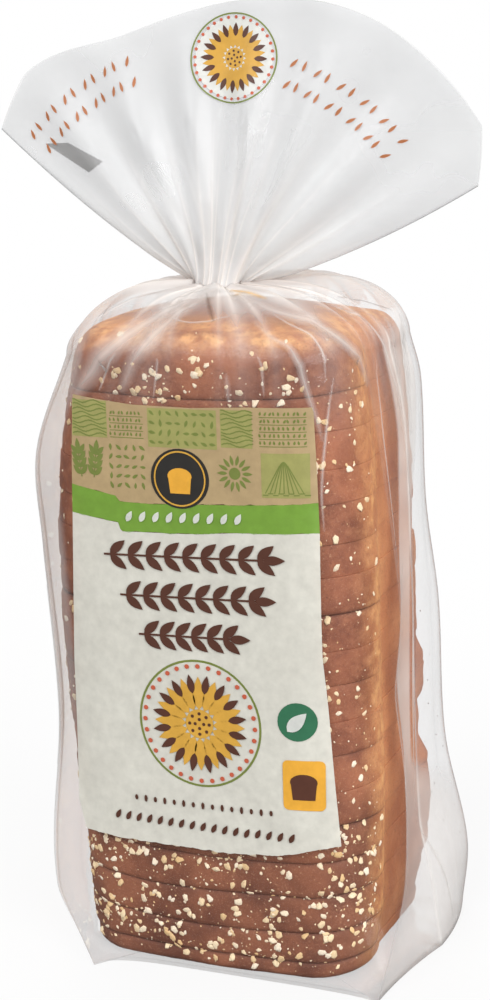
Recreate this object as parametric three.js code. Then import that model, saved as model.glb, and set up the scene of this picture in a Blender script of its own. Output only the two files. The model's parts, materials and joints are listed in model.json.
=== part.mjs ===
// A loaf of sliced bread that stands on its heel in a clear film bag.
// The bag is gathered above the loaf, and its open end fans out over the gather.
// The solid is the filled bag out to the film: +Z is up, -Y is the printed front, +X is to the right,
// and the origin is the middle of the loaf's base.
import * as THREE from 'three';

// The slices, from the heel that the loaf stands on to the heel under the gather, in millimetres
const LOAF_LENGTH = 240;
const BOTTOM_SLICES = [8, 13, 14];
const MIDDLE_SLICE_COUNT = 14;
const TOP_HEEL = 18.5;
const GROOVE_DEPTH = 1.1;
const FRONT_GROOVE_REACH = 0.82;

// The film's folds at each height, as [height, x, y] from the floor to where the shoulders begin
const FRONT_RIGHT_FOLD = [
  [0, 70.5, -54.5], [12, 71, -42], [34, 70.8, -22], [78, 68.5, -14], [108, 65.5, -13],
  [134, 67.5, -13], [162, 65.5, -14], [194, 62, -16], [232, 58, -20],
];
const RIGHT_CREASE = [
  [0, 78, 0], [25, 73, 4], [50, 67.5, 6], [150, 66, 5], [200, 65, 4], [215, 63.5, 3], [232, 60, 2],
];
const BACK_RIGHT_FOLD = [
  [0, 74, 40], [27, 75.5, 43], [70, 66, 45], [126, 63.5, 46], [165, 58.5, 47], [215, 57.5, 45.5],
  [232, 54, 43.5],
];
const BACK_LEFT_FOLD = [
  [0, -70, 42], [20, -70, 45], [70, -64, 46], [150, -63, 47], [232, -53, 44],
];
const LEFT_CREASE = [
  [0, -72, 0], [30, -70, 2], [60, -67, 3], [150, -67, 2], [205, -64, 1], [232, -58, 0],
];
const FRONT_LEFT_FOLD = [
  [0, -42, -60], [22, -68, -37], [94, -65.5, -30.6], [160, -68.5, -31.5], [195, -68.5, -32.8],
  [232, -54.5, -29.2],
];

// How far the film swells past the straight line between two folds
const FRONT_CROWN_Y = -50.5;
const FRONT_CROWN_POWER = 5;
const FRONT_CROWN_ROUND = 0.5;
const BACK_SWELL = 4;
const SIDE_SWELL = -1.5;

// The shoulders, where the film closes in over the upper heel to the neck
const SHOULDER_BOTTOM = 232;
const SHOULDER_RISE = 26;
const RIGHT_SHOULDER_FULLNESS = 2;
const LEFT_SHOULDER_FULLNESS = 2.3;
const BACK_SHOULDER_GAIN = 0.5;
const SHOULDER_CORNER_CUT = 0.4;
const BACK_PUFF = 4;
const BACK_PUFF_LEFT_END = -0.6;
const NECK_X = -7;
const NECK_SCALE = 0.15;
const NECK_DIP = 2.5;
const NECK_DIP_START = 0.6;
const PLEAT_COUNT = 13;
const PLEAT_DEPTH = 2.8;

// The fan above the neck, in polar sizes about a point just under the neck
const FAN_CENTRE_Z = 249.5;
const FAN_LEFT_ANGLE = -52.5;
const FAN_RIGHT_ANGLE = 68;
const FAN_EDGE_DROOP = 0.11;
const FAN_SHORTEST = 102.5;
const FAN_SHORTEST_ANGLE = -18;
const FAN_RIGHT_GAIN = 14.5;
const FAN_RIGHT_FULL_ANGLE = 36;
const FAN_RIGHT_CORNER_ANGLE = 58.5;
const FAN_RIGHT_CUT = 11;
const FAN_LEFT_GAIN = 8.5;
const FAN_LEFT_CORNER_ANGLE = -41;
const FAN_LEFT_CUT = 6;
const FAN_YAW = 8;
const FAN_START = 0.09;
const FAN_SPREAD_END = 0.22;
const FAN_NECK_HALF_THICKNESS = 6.5;
const FAN_BELLY = 9;
const FAN_MOUTH_HALF_THICKNESS = 1.6;
const FAN_EDGE_SHARE = 0.15;
const FAN_PLEAT_COUNT = 7;
const FAN_PLEAT_DEPTH = 2.2;

// The mesh: points along each panel of a ring, and rings along each stretch of the bag
const FRONT_POINTS = 22;
const SIDE_POINTS = 8;
const SHOULDER_RINGS = 8;
const FAN_RINGS = 12;
const FAN_RING_CROWDING = 1.25;

const FILM_COLOUR = 0xd8c8b6;
const FILM_ROUGHNESS = 0.25;

const mix = (a, b, share) => a + (b - a) * share;

function smooth(low, high, value) {
  const share = Math.min(1, Math.max(0, (value - low) / (high - low)));
  return share * share * (3 - 2 * share);
}

// A fold's place at one height, on a smooth curve through its stations
function foldAt(stations, height) {
  const last = stations.length - 2;
  let i = 0;
  while (i < last && height > stations[i + 1][0]) i += 1;
  const rise = stations[i + 1][0] - stations[i][0];
  const share = Math.min(1, Math.max(0, (height - stations[i][0]) / rise));
  const blend = smooth(0, 1, share);
  const leaving = share * (1 - share) ** 2 * rise;
  const arriving = share ** 2 * (share - 1) * rise;
  const slope = (station, axis) => {
    const before = stations[Math.max(station - 1, 0)];
    const after = stations[Math.min(station + 1, stations.length - 1)];
    return (after[axis] - before[axis]) / (after[0] - before[0]);
  };
  return [1, 2].map((axis) => mix(stations[i][axis], stations[i + 1][axis], blend)
    + leaving * slope(i, axis) + arriving * slope(i + 1, axis));
}

// The heights where one slice meets the next
function sliceJoints() {
  const joints = [0];
  for (const thickness of BOTTOM_SLICES) joints.push(joints.at(-1) + thickness);
  const middle = (LOAF_LENGTH - TOP_HEEL - joints.at(-1)) / MIDDLE_SLICE_COUNT;
  for (let i = 0; i < MIDDLE_SLICE_COUNT; i += 1) joints.push(joints.at(-1) + middle);
  return joints;
}

// A straight panel between two folds that swells by some millimetres at its middle, without its last point
function panel(from, to, count, swell) {
  const length = Math.hypot(to[0] - from[0], to[1] - from[1]);
  const outward = [(to[1] - from[1]) / length, (from[0] - to[0]) / length];
  return Array.from({ length: count }, (_, i) => {
    const share = i / count;
    const push = swell * 4 * share * (1 - share);
    return [mix(from[0], to[0], share) + outward[0] * push, mix(from[1], to[1], share) + outward[1] * push];
  });
}

// The front panel lies on the domed crust, and leaves it for the two front folds
function frontPanel(left, right, grooveShare) {
  return Array.from({ length: FRONT_POINTS }, (_, i) => {
    const across = -Math.cos((Math.PI * i) / FRONT_POINTS);
    const crown = (1 - Math.abs(across) ** FRONT_CROWN_POWER) ** FRONT_CROWN_ROUND;
    const foldY = mix(left[1], right[1], (across + 1) / 2);
    const groove = GROOVE_DEPTH * grooveShare * (1 - smooth(FRONT_GROOVE_REACH, 1, Math.abs(across)));
    return [mix(left[0], right[0], (across + 1) / 2), mix(foldY, FRONT_CROWN_Y, crown) + groove];
  });
}

// One level ring of the body, from the front left fold round by the right to the left side
function bodyRing(height, grooveShare) {
  const frontLeft = foldAt(FRONT_LEFT_FOLD, height);
  const frontRight = foldAt(FRONT_RIGHT_FOLD, height);
  const right = foldAt(RIGHT_CREASE, height);
  const backRight = foldAt(BACK_RIGHT_FOLD, height);
  const backLeft = foldAt(BACK_LEFT_FOLD, height);
  const left = foldAt(LEFT_CREASE, height);
  return [
    ...frontPanel(frontLeft, frontRight, grooveShare),
    ...panel(frontRight, right, SIDE_POINTS, SIDE_SWELL),
    ...panel(right, backRight, SIDE_POINTS, -SIDE_SWELL),
    ...panel(backRight, backLeft, FRONT_POINTS, BACK_SWELL),
    ...panel(backLeft, left, SIDE_POINTS, -SIDE_SWELL),
    ...panel(left, frontLeft, SIDE_POINTS, SIDE_SWELL),
  ].map(([x, y]) => [x, y, height]);
}

// One ring of the shoulders: turn goes from 0 at the body to 1 at the neck
function shoulderRing(rim, turn) {
  const halfWidth = Math.max(...rim.map(([x]) => Math.abs(x)));
  const halfDepth = Math.max(...rim.map(([, y]) => Math.abs(y)));
  return rim.map(([x, y], i) => {
    const wide = x / halfWidth;
    const deep = y / halfDepth;
    const sideFullness = mix(LEFT_SHOULDER_FULLNESS, RIGHT_SHOULDER_FULLNESS, (wide + 1) / 2);
    const fullness = sideFullness + BACK_SHOULDER_GAIN * deep - SHOULDER_CORNER_CUT * Math.abs(wide * deep);
    const angle = Math.acos(NECK_SCALE ** (fullness / 2)) * turn;
    const scale = Math.cos(angle) ** (2 / fullness);
    const closing = 1 - scale;
    const pleatShare = closing * Math.sqrt(scale);
    const pleat = Math.cos((2 * Math.PI * PLEAT_COUNT * i) / rim.length);
    const dip = NECK_DIP * smooth(NECK_DIP_START, 1, turn);
    const puffShare = Math.max(0, deep) * Math.max(0, Math.min(1, wide - BACK_PUFF_LEFT_END));
    const puff = BACK_PUFF * Math.sin(Math.PI * turn) ** 2 * puffShare;
    const slope = SHOULDER_BOTTOM + SHOULDER_RISE * Math.sin(angle) - dip;
    return [NECK_X * closing + x * scale, y * scale, slope + puff + PLEAT_DEPTH * pleatShare * pleat];
  });
}

// The fan's length from its centre to the mouth, along one direction in degrees from straight up
function fanReach(angle) {
  const gain = FAN_RIGHT_GAIN * smooth(FAN_SHORTEST_ANGLE, FAN_RIGHT_FULL_ANGLE, angle)
    + FAN_LEFT_GAIN * smooth(-FAN_SHORTEST_ANGLE, -FAN_LEFT_CORNER_ANGLE, -angle);
  const pastRight = (angle - FAN_RIGHT_CORNER_ANGLE) / (FAN_RIGHT_ANGLE - FAN_RIGHT_CORNER_ANGLE);
  const pastLeft = (angle - FAN_LEFT_CORNER_ANGLE) / (FAN_LEFT_ANGLE - FAN_LEFT_CORNER_ANGLE);
  return FAN_SHORTEST + gain - FAN_RIGHT_CUT * Math.max(0, pastRight) - FAN_LEFT_CUT * Math.max(0, pastLeft);
}

// One ring of the fan: rise goes from 0 at the neck to 1 at the mouth
function fanRing(neck, rise) {
  const spread = smooth(0, FAN_SPREAD_END, rise);
  const yaw = THREE.MathUtils.degToRad(FAN_YAW);
  const droop = 1 + FAN_EDGE_DROOP * (1 - rise);
  const belly = FAN_BELLY * Math.sin(Math.PI * rise) * (1 - rise);
  const halfThickness = mix(FAN_NECK_HALF_THICKNESS, FAN_MOUTH_HALF_THICKNESS, smooth(0, 1, rise)) + belly;
  const pleatDepth = FAN_PLEAT_DEPTH * Math.sin(Math.PI * rise);
  const half = neck.length / 2;
  return neck.map(([neckX, neckY, neckZ], i) => {
    const step = (i + SIDE_POINTS) % neck.length;
    const isFront = step < half;
    const across = isFront ? step / half : 2 - step / half;
    const angle = mix(FAN_LEFT_ANGLE, FAN_RIGHT_ANGLE, across);
    const turned = THREE.MathUtils.degToRad(angle * droop);
    const reach = fanReach(angle) * mix(FAN_START, 1, rise);
    const roundness = Math.sqrt(Math.max(0, 1 - (2 * across - 1) ** 2));
    const pleat = pleatDepth * roundness * Math.sin(2 * Math.PI * FAN_PLEAT_COUNT * across);
    const depth = (isFront ? -1 : 1) * halfThickness * mix(roundness, 1, FAN_EDGE_SHARE) + pleat;
    const sideways = reach * Math.sin(turned);
    const fanX = NECK_X + sideways * Math.cos(yaw) - depth * Math.sin(yaw);
    const fanY = sideways * Math.sin(yaw) + depth * Math.cos(yaw);
    const fanZ = FAN_CENTRE_Z + reach * Math.cos(turned);
    return [mix(neckX, fanX, spread), mix(neckY, fanY, spread), mix(neckZ, fanZ, spread)];
  });
}

function bagRings() {
  const rings = [];
  const joints = sliceJoints();
  joints.forEach((joint, i) => {
    const top = joints[i + 1] ?? SHOULDER_BOTTOM;
    rings.push(bodyRing(joint, joint > 0 ? 1 : 0));
    rings.push(bodyRing((joint + top) / 2, 0));
  });
  const rim = bodyRing(SHOULDER_BOTTOM, 0);
  rings.push(rim);
  for (let i = 1; i <= SHOULDER_RINGS; i += 1) rings.push(shoulderRing(rim, i / SHOULDER_RINGS));
  const neck = rings.at(-1);
  for (let i = 1; i <= FAN_RINGS; i += 1) rings.push(fanRing(neck, (i / FAN_RINGS) ** FAN_RING_CROWDING));
  return rings;
}

// A closed skin over the rings: a flat base below, and the two sheets of the mouth joined along its edge
function skin(rings) {
  const size = rings[0].length;
  const half = size / 2;
  const positions = rings.flat(2);
  const faces = [];
  for (let ring = 0; ring + 1 < rings.length; ring += 1) {
    for (let i = 0; i < size; i += 1) {
      const a = ring * size + i;
      const b = ring * size + ((i + 1) % size);
      faces.push(a, b, b + size, a, b + size, a + size);
    }
  }
  const centre = positions.length / 3;
  positions.push(0, 0, 0);
  for (let i = 0; i < size; i += 1) faces.push((i + 1) % size, i, centre);
  const mouth = (rings.length - 1) * size;
  const front = (step) => mouth + ((step - SIDE_POINTS + size) % size);
  for (let i = 0; i < half; i += 1) {
    const back = (step) => front((size - step) % size);
    if (i > 0) faces.push(front(i), front(i + 1), back(i));
    if (i + 1 < half) faces.push(front(i + 1), back(i + 1), back(i));
  }
  const geometry = new THREE.BufferGeometry();
  geometry.setAttribute('position', new THREE.Float32BufferAttribute(positions, 3));
  geometry.setIndex(faces);
  geometry.computeVertexNormals();
  return geometry;
}

const bag = new THREE.Mesh(
  skin(bagRings()),
  new THREE.MeshStandardMaterial({ color: FILM_COLOUR, roughness: FILM_ROUGHNESS, metalness: 0 }),
);
bag.name = 'bag';

const loafInBag = new THREE.Group();
loafInBag.add(bag);

export default loafInBag;
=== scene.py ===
import json
import math

import bpy
import numpy as np
from mathutils import Matrix, Vector, noise

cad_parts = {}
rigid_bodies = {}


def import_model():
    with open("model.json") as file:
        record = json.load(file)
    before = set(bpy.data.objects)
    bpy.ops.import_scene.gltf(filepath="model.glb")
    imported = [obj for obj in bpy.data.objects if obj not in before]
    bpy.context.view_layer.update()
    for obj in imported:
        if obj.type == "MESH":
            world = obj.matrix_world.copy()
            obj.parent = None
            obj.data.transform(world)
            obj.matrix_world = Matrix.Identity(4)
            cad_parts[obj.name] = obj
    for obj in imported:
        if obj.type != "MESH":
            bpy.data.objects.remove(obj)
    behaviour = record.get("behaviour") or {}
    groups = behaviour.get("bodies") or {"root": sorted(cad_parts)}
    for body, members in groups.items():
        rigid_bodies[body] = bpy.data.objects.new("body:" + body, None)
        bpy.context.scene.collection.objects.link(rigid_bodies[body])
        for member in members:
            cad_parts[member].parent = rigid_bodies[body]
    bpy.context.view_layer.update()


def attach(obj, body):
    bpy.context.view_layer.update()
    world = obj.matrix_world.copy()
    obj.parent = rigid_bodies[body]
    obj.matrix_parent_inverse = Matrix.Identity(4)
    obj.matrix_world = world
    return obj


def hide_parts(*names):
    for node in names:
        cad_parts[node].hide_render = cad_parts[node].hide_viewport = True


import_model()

# The loaf: one pan loaf of wholemeal dough, baked until its crown is brown and cut into eighteen slices.
# It stands on its lower heel, so the lowest slices are pressed thin and the joints sag in the middle.
MM = 0.001
LOAF_LENGTH = 240 * MM
BOTTOM_SLICES = (8 * MM, 13 * MM, 14 * MM)
MIDDLE_SLICE_COUNT = 14
SLICE_COUNT = len(BOTTOM_SLICES) + MIDDLE_SLICE_COUNT + 1
TOP_HEEL = 18.5 * MM
LOAF_BASE_GAP = 0.5 * MM
SLICE_GAP = 0.02 * MM
HALF_DEPTH = 48 * MM
HALF_WIDTH = 63.5 * MM
SHOULDER_X = 39.5 * MM
SHOULDER_RADIUS = 24 * MM
SHOULDER_Y = -22.5 * MM
SHOULDER_TURN = 25
PAN_HALF_WIDTH = 61 * MM
BACK_CORNER_RADIUS = 12 * MM
# Half of the loaf's width on each side, at heights, all in millimetres
LEFT_HALF_WIDTHS = (
    (0, 55), (19, 57), (43, 58.4), (95, 63.3), (127, 65.7), (167, 64.8), (202, 60.8), (225, 55.8), (240, 52.2),
)
RIGHT_HALF_WIDTHS = ((0, 58), (20, 61), (59, 62), (158, 61.8), (194, 60.5), (225, 58), (240, 56))
END_RADIUS = 9 * MM
BASE_RADIUS = 4 * MM
JOINT_ROUNDING = 1.0 * MM
JOINT_WIDTH = 0.95 * MM
PAN_SIDE_SHARE = 0.1
BACK_SHARE = 0.5
HEEL_DOME = 9.5 * MM
DOME_HALF_WIDTH = 56 * MM
DOME_HALF_DEPTH = 44 * MM
# How deep each joint shows, in its rounding and its painted shade, and how far it sags at the front, at heights, both
# in millimetres
JOINT_STRENGTHS = (1, 0.9, 0.8, 0.8, 0.8, 1, 0.2, 0.5, 0.12, 0.45, 0.15, 1, 0.18, 0.15, 0.1, 0.12, 0.25, 0.65, 1)
JOINT_SAGS = ((0, 0), (8, 1.5), (21, 3.2), (35, 3.5), (60, 2.2), (120, 1.2), (200, 1.6), (221, 3), (240, 0))
JOINT_WAVE = 1.3 * MM
WAVE_WIDTH = 45 * MM
WAVE_DEPTH = 60 * MM
WAVE_SHIFT = 5.3
# How dark the painted shade is that stands for the shadow in the joints between slices
JOINT_PAINTED_SHADE = 0.9
SLICE_SHIFT = 0.3
SLICE_GROWTH = (-0.005, 0.003)
WOBBLE_SIZE = 22 * MM
WOBBLE_HEIGHT = 0.45 * MM
BLISTERS = ((6 * MM, 0.22 * MM, 1), (2.2 * MM, 0.1 * MM, 2))
# Where the crown and the back fade in along the rim: the start and the length of each rise
CROWN_RISE = (13 * MM, 20 * MM)
BACK_RISE = (26 * MM, 18 * MM)
BACK_EDGE_RISE_Y = (24 * MM, 12 * MM)
BACK_EDGE_RISE_X = (8 * MM, 34 * MM)
# A golden band along the shoulders where the crown meets the pan side: partly the crust's own colour, partly a painted
# highlight
GOLDEN_HIGHLIGHT_Y = -19 * MM
GOLDEN_HIGHLIGHT_WIDTH = 10 * MM
GOLDEN_HIGHLIGHT_STRENGTH = 0.8
HEEL_GLOW_DEPTH = 3.2 * MM
# The rings of a cut face, as shares of its rim, and how golden each is on a heel
CAP_RINGS = ((0.93, 1.0), (0.7, 0.6), (0.35, 0.35))
RIM_POINTS = 300
RIM_SHARES = (0, 0.02, 0.05, 0.10, 0.19, 0.34, 0.5, 0.66, 0.81, 0.90, 0.95, 0.98, 1)
HEEL_ROWS = 22
HEEL_JOINT_SHARES = (0.008, 0.02, 0.04, 0.07, 0.12)
# The depth of the back half in thousandths, and how far its ragged right edge stands out, at heights in millimetres
BACK_DEPTH_SHARES = ((0, 830), (14, 885), (27, 915), (60, 940), (240, 940))
BACK_EDGE = (
    (0, 0), (22, 0.5), (28, 2.6), (48, 3.2), (64, 2.2), (71, -1.8),
    (86, -2.2), (92, 0.6), (106, 0.8), (112, -2), (240, -2.6),
)
BACK_EDGE_WAVER = 0.7 * MM
BACK_EDGE_WAVER_SIZE = 9 * MM
CRUST_SEED = 5


def table_at(table, height):
    """The value of a table of (height, size) pairs in millimetres, in metres, at a height in metres."""
    heights, sizes = zip(*table)
    return np.interp(height / MM, heights, sizes) * MM


def mix(first, second, share):
    """The value that lies at a share of the way from the first to the second."""
    return first + (second - first) * share


def ramp(value, start, length):
    """0 up to the start, and an even rise to 1 over the length after it."""
    return np.clip((value - start) / length, 0, 1)


def hump(value, middle, width):
    """1 at the middle, and a soft fall to 0 on both sides of it."""
    return np.exp(-((value - middle) / width) ** 2)


def slice_outline(points):
    """The rim of one slice from the middle of its domed front round by the right, as x and y."""
    crown_x = np.linspace(0, SHOULDER_X, 40)
    crown_drop = SHOULDER_Y - SHOULDER_RADIUS + HALF_DEPTH
    crown = np.column_stack([crown_x, crown_drop * (crown_x / SHOULDER_X) ** 2 - HALF_DEPTH])
    turn = np.radians(np.linspace(-90, SHOULDER_TURN, 40))
    shoulder = np.column_stack([np.cos(turn), np.sin(turn)]) * SHOULDER_RADIUS + (SHOULDER_X, SHOULDER_Y)
    turn = np.radians(np.linspace(0, 90, 20))
    corner_centre = (PAN_HALF_WIDTH - BACK_CORNER_RADIUS, HALF_DEPTH - BACK_CORNER_RADIUS)
    corner = np.column_stack([np.cos(turn), np.sin(turn)]) * BACK_CORNER_RADIUS + corner_centre
    half = np.vstack([crown, shoulder[1:], corner, [[0, HALF_DEPTH]]])
    steps = np.concatenate([[0], np.cumsum(np.hypot(*np.diff(half, axis=0).T))])
    along = np.linspace(0, steps[-1], points // 2 + 1)
    right = np.column_stack([np.interp(along, steps, half[:, 0]), np.interp(along, steps, half[:, 1])])
    left = right[-2:0:-1] * (-1, 1)
    return np.vstack([right, left])


def soft_noise(points, size, seed):
    """Smooth noise from -1 to 1 at each point, with bumps of about the given size."""
    shift = Vector((seed * 3.7, seed * 1.3, seed * 2.1))
    return np.array([noise.noise(Vector(point) / size + shift) for point in points])


def joint_height(x, y, level, index):
    """How high a cut lies over the point (x, y): it sags towards the middle of the front."""
    sag = table_at(JOINT_SAGS, level) * (1 - (x / HALF_WIDTH) ** 2)
    at_front = np.clip(0.5 - y / HALF_DEPTH / 2, 0, 1)
    spots = [Vector((a / WAVE_WIDTH, b / WAVE_DEPTH, index * WAVE_SHIFT)) for a, b in zip(x, y)]
    wave = np.array([noise.noise(spot) for spot in spots]) * JOINT_WAVE * (0 < index < SLICE_COUNT)
    dome = np.clip(1 - (x / DOME_HALF_WIDTH) ** 2, 0, 1) * np.clip(1 - (y / DOME_HALF_DEPTH) ** 2, 0, 1)
    return level - sag * at_front + wave + dome * HEEL_DOME * (index == SLICE_COUNT)


def mesh_piece(name, points, faces, materials):
    """A new object at the origin from points and faces, with smooth faces."""
    mesh = bpy.data.meshes.new(name)
    mesh.from_pydata(np.asarray(points).tolist(), [], faces)
    mesh.shade_smooth()
    piece = bpy.data.objects.new(name, mesh)
    bpy.context.scene.collection.objects.link(piece)
    for material in materials:
        mesh.materials.append(material)
    return piece


def give_attribute(piece, name, values):
    """Stores one number for each point of the piece's mesh."""
    attribute = piece.data.attributes.new(name, "FLOAT", "POINT")
    attribute.data.foreach_set("value", np.asarray(values, np.float32))


def add_node(tree, kind, place=None, **settings):
    """A new node with its plain settings, and its inputs from the dictionary place."""
    node = tree.nodes.new(kind)
    for key, value in settings.items():
        setattr(node, key, value)
    for key, value in (place or {}).items():
        if isinstance(value, bpy.types.NodeSocket):
            tree.links.new(value, node.inputs[key])
        else:
            node.inputs[key].default_value = value
    return node


def new_material(name):
    """A material with only an output, and its node tree."""
    material = bpy.data.materials.new(name)
    material.use_nodes = True
    material.node_tree.nodes.clear()
    return material, material.node_tree


def mixed_colour(tree, factor, first, second):
    """The colour output of a mix of two colours or colour sockets."""
    node = tree.nodes.new("ShaderNodeMix")
    node.data_type = "RGBA"
    for index, value in ((0, factor), (6, first), (7, second)):
        if isinstance(value, bpy.types.NodeSocket):
            tree.links.new(value, node.inputs[index])
        else:
            node.inputs[index].default_value = value
    return node.outputs[2]


def ranged(tree, value, low, high, to_low=0.0, to_high=1.0):
    """A value socket stretched from one range to another and held inside it."""
    node = add_node(tree, "ShaderNodeMapRange", {"Value": value})
    for name, number in (("From Min", low), ("From Max", high), ("To Min", to_low), ("To Max", to_high)):
        node.inputs[name].default_value = number
    return node.outputs["Result"]


def attribute(tree, name):
    """The number that an attribute of the mesh holds."""
    return add_node(tree, "ShaderNodeAttribute", attribute_name=name).outputs["Fac"]


def arithmetic(tree, operation, first, second):
    """One Math node's output."""
    node = tree.nodes.new("ShaderNodeMath")
    node.operation = operation
    for socket, value in zip(node.inputs, (first, second)):
        if isinstance(value, bpy.types.NodeSocket):
            tree.links.new(value, socket)
        else:
            socket.default_value = value
    return node.outputs[0]


def grain(tree, coordinates, scale, detail=3.0, roughness=0.55):
    """The factor of a noise texture of that scale."""
    inputs = {"Vector": coordinates, "Scale": scale, "Detail": detail, "Roughness": roughness}
    return add_node(tree, "ShaderNodeTexNoise", inputs).outputs[0]


def crust_material():
    """Baked crust: brown on the crown, tan on the pan sides, golden round the heel, golden where the two meet with a
    painted highlight on that band, and painted shade at the joints.
    """
    material, tree = new_material("baked_crust")
    place = add_node(tree, "ShaderNodeTexCoord").outputs["Object"]
    broad = grain(tree, place, 42)
    blotch = grain(tree, place, 190)
    fine = grain(tree, place, 1100, 4.0, 0.7)
    mottle = grain(tree, place, 120, 5.0, 0.65)
    patches = ranged(tree, broad, 0.35, 0.65)
    crown = mixed_colour(tree, patches, (0.195, 0.061, 0.033, 1), (0.39, 0.138, 0.069, 1))
    crown = mixed_colour(tree, ranged(tree, blotch, 0.45, 0.75, 0, 0.6), crown, (0.46, 0.180, 0.095, 1))
    side = mixed_colour(tree, patches, (0.50, 0.178, 0.078, 1), (0.65, 0.275, 0.122, 1))
    low_patches = ranged(tree, broad, 0.38, 0.62)
    lower_crown = mixed_colour(tree, low_patches, (0.12, 0.040, 0.024, 1), (0.27, 0.098, 0.052, 1))
    height = add_node(tree, "ShaderNodeSeparateXYZ", {"Vector": place}).outputs["Z"]
    crown = mixed_colour(tree, ranged(tree, height, 0.085, 0.045, 0, 0.8), crown, lower_crown)
    crust = mixed_colour(tree, attribute(tree, "crown"), side, crown)
    golden = mixed_colour(tree, ranged(tree, blotch, 0.35, 0.7), (0.73, 0.31, 0.105, 1), (0.95, 0.54, 0.22, 1))
    edge = arithmetic(tree, "MULTIPLY", attribute(tree, "golden"), ranged(tree, mottle, 0.3, 0.62, 0.3, 1))
    edge = arithmetic(tree, "MULTIPLY", edge, ranged(tree, blotch, 0.32, 0.62, 0.5, 1))
    # Golden round the heel, and on the shoulder band, where it is partly a painted highlight
    crust = mixed_colour(tree, edge, crust, golden)
    # Painted shade: the crust darkens at the joints between slices, where the gaps lie in shadow
    crust = mixed_colour(tree, attribute(tree, "joint"), crust, (0.09, 0.032, 0.022, 1))
    speckled = mixed_colour(tree, ranged(tree, fine, 0.58, 0.74, 0, 0.6), crust, (0.66, 0.38, 0.22, 1))
    pitted = mixed_colour(tree, ranged(tree, fine, 0.44, 0.28, 0, 0.65), speckled, (0.12, 0.042, 0.026, 1))
    relief = arithmetic(tree, "MULTIPLY", arithmetic(tree, "ADD", blotch, fine), 0.5)
    bump = add_node(tree, "ShaderNodeBump", {"Height": relief, "Strength": 0.6, "Distance": 0.0007})
    shader = add_node(tree, "ShaderNodeBsdfPrincipled", {
        "Base Color": pitted,
        "Roughness": ranged(tree, blotch, 0.3, 0.7, 0.5, 0.72),
        "Specular IOR Level": 0.3,
        "Normal": bump.outputs["Normal"],
    })
    add_node(tree, "ShaderNodeOutputMaterial", {"Surface": shader.outputs[0]})
    return material


def crumb_material():
    """Open wholemeal crumb: pale brown with small dark holes and flecks of bran."""
    material, tree = new_material("wholemeal_crumb")
    place = add_node(tree, "ShaderNodeTexCoord").outputs["Object"]
    holes = add_node(tree, "ShaderNodeTexVoronoi", {"Vector": place, "Scale": 520.0}).outputs["Distance"]
    fleck = grain(tree, place, 900)
    colour = mixed_colour(tree, ranged(tree, fleck, 0.4, 0.7), (0.50, 0.31, 0.17, 1), (0.66, 0.45, 0.27, 1))
    colour = mixed_colour(tree, ranged(tree, holes, 0.25, 0.1, 0, 0.6), colour, (0.20, 0.10, 0.05, 1))
    bump = add_node(tree, "ShaderNodeBump", {"Height": holes, "Strength": 0.6, "Distance": 0.0008})
    shader = add_node(tree, "ShaderNodeBsdfPrincipled", {
        "Base Color": colour, "Roughness": 0.9, "Specular IOR Level": 0.15, "Normal": bump.outputs["Normal"],
    })
    add_node(tree, "ShaderNodeOutputMaterial", {"Surface": shader.outputs[0]})
    return material


def slice_joints():
    """The heights of the cuts, from the lower heel's base to the upper heel's top."""
    joints = [0.0]
    for thickness in BOTTOM_SLICES:
        joints.append(joints[-1] + thickness)
    middle = (LOAF_LENGTH - TOP_HEEL - joints[-1]) / MIDDLE_SLICE_COUNT
    for _ in range(MIDDLE_SLICE_COUNT):
        joints.append(joints[-1] + middle)
    return joints + [LOAF_LENGTH]


def loaf_rim(x, y, height):
    """The rim of a slice fitted to the loaf's width at a height."""
    half = np.where(x < 0, table_at(LEFT_HALF_WIDTHS, height), table_at(RIGHT_HALF_WIDTHS, height))
    return x * half / HALF_WIDTH, np.where(y > 0, y * table_at(BACK_DEPTH_SHARES, height), y)


def rim_shares(index):
    """Where a slice's rows lie between its two cuts: they crowd at the joints and on the heels' turns."""
    if index == 0:
        return np.linspace(0, 1, HEEL_ROWS) ** 2
    if index == SLICE_COUNT - 1:
        return np.sort(np.concatenate([np.linspace(0, 1, HEEL_ROWS) ** 0.5, HEEL_JOINT_SHARES]))
    return np.array(RIM_SHARES)


def joint_pull(index, joints, height):
    """How strongly the nearer joint pulls the crust in at a height, from 0 to 1."""
    low, high = joints[index], joints[index + 1]
    below = JOINT_STRENGTHS[index] * math.exp(-(height - low) / JOINT_WIDTH) if index > 0 else 0
    above = JOINT_STRENGTHS[index + 1] * math.exp(-(high - height) / JOINT_WIDTH) if index < SLICE_COUNT - 1 else 0
    return max(below, above)


def end_inset(height):
    """How far the rim draws in on the round turns at the loaf's base and top."""
    inset = 0
    for end_gap, radius in ((height, BASE_RADIUS), (LOAF_LENGTH - height, END_RADIUS)):
        if end_gap < radius:
            inset = radius - math.sqrt(radius**2 - (radius - end_gap) ** 2)
    return inset


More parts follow.
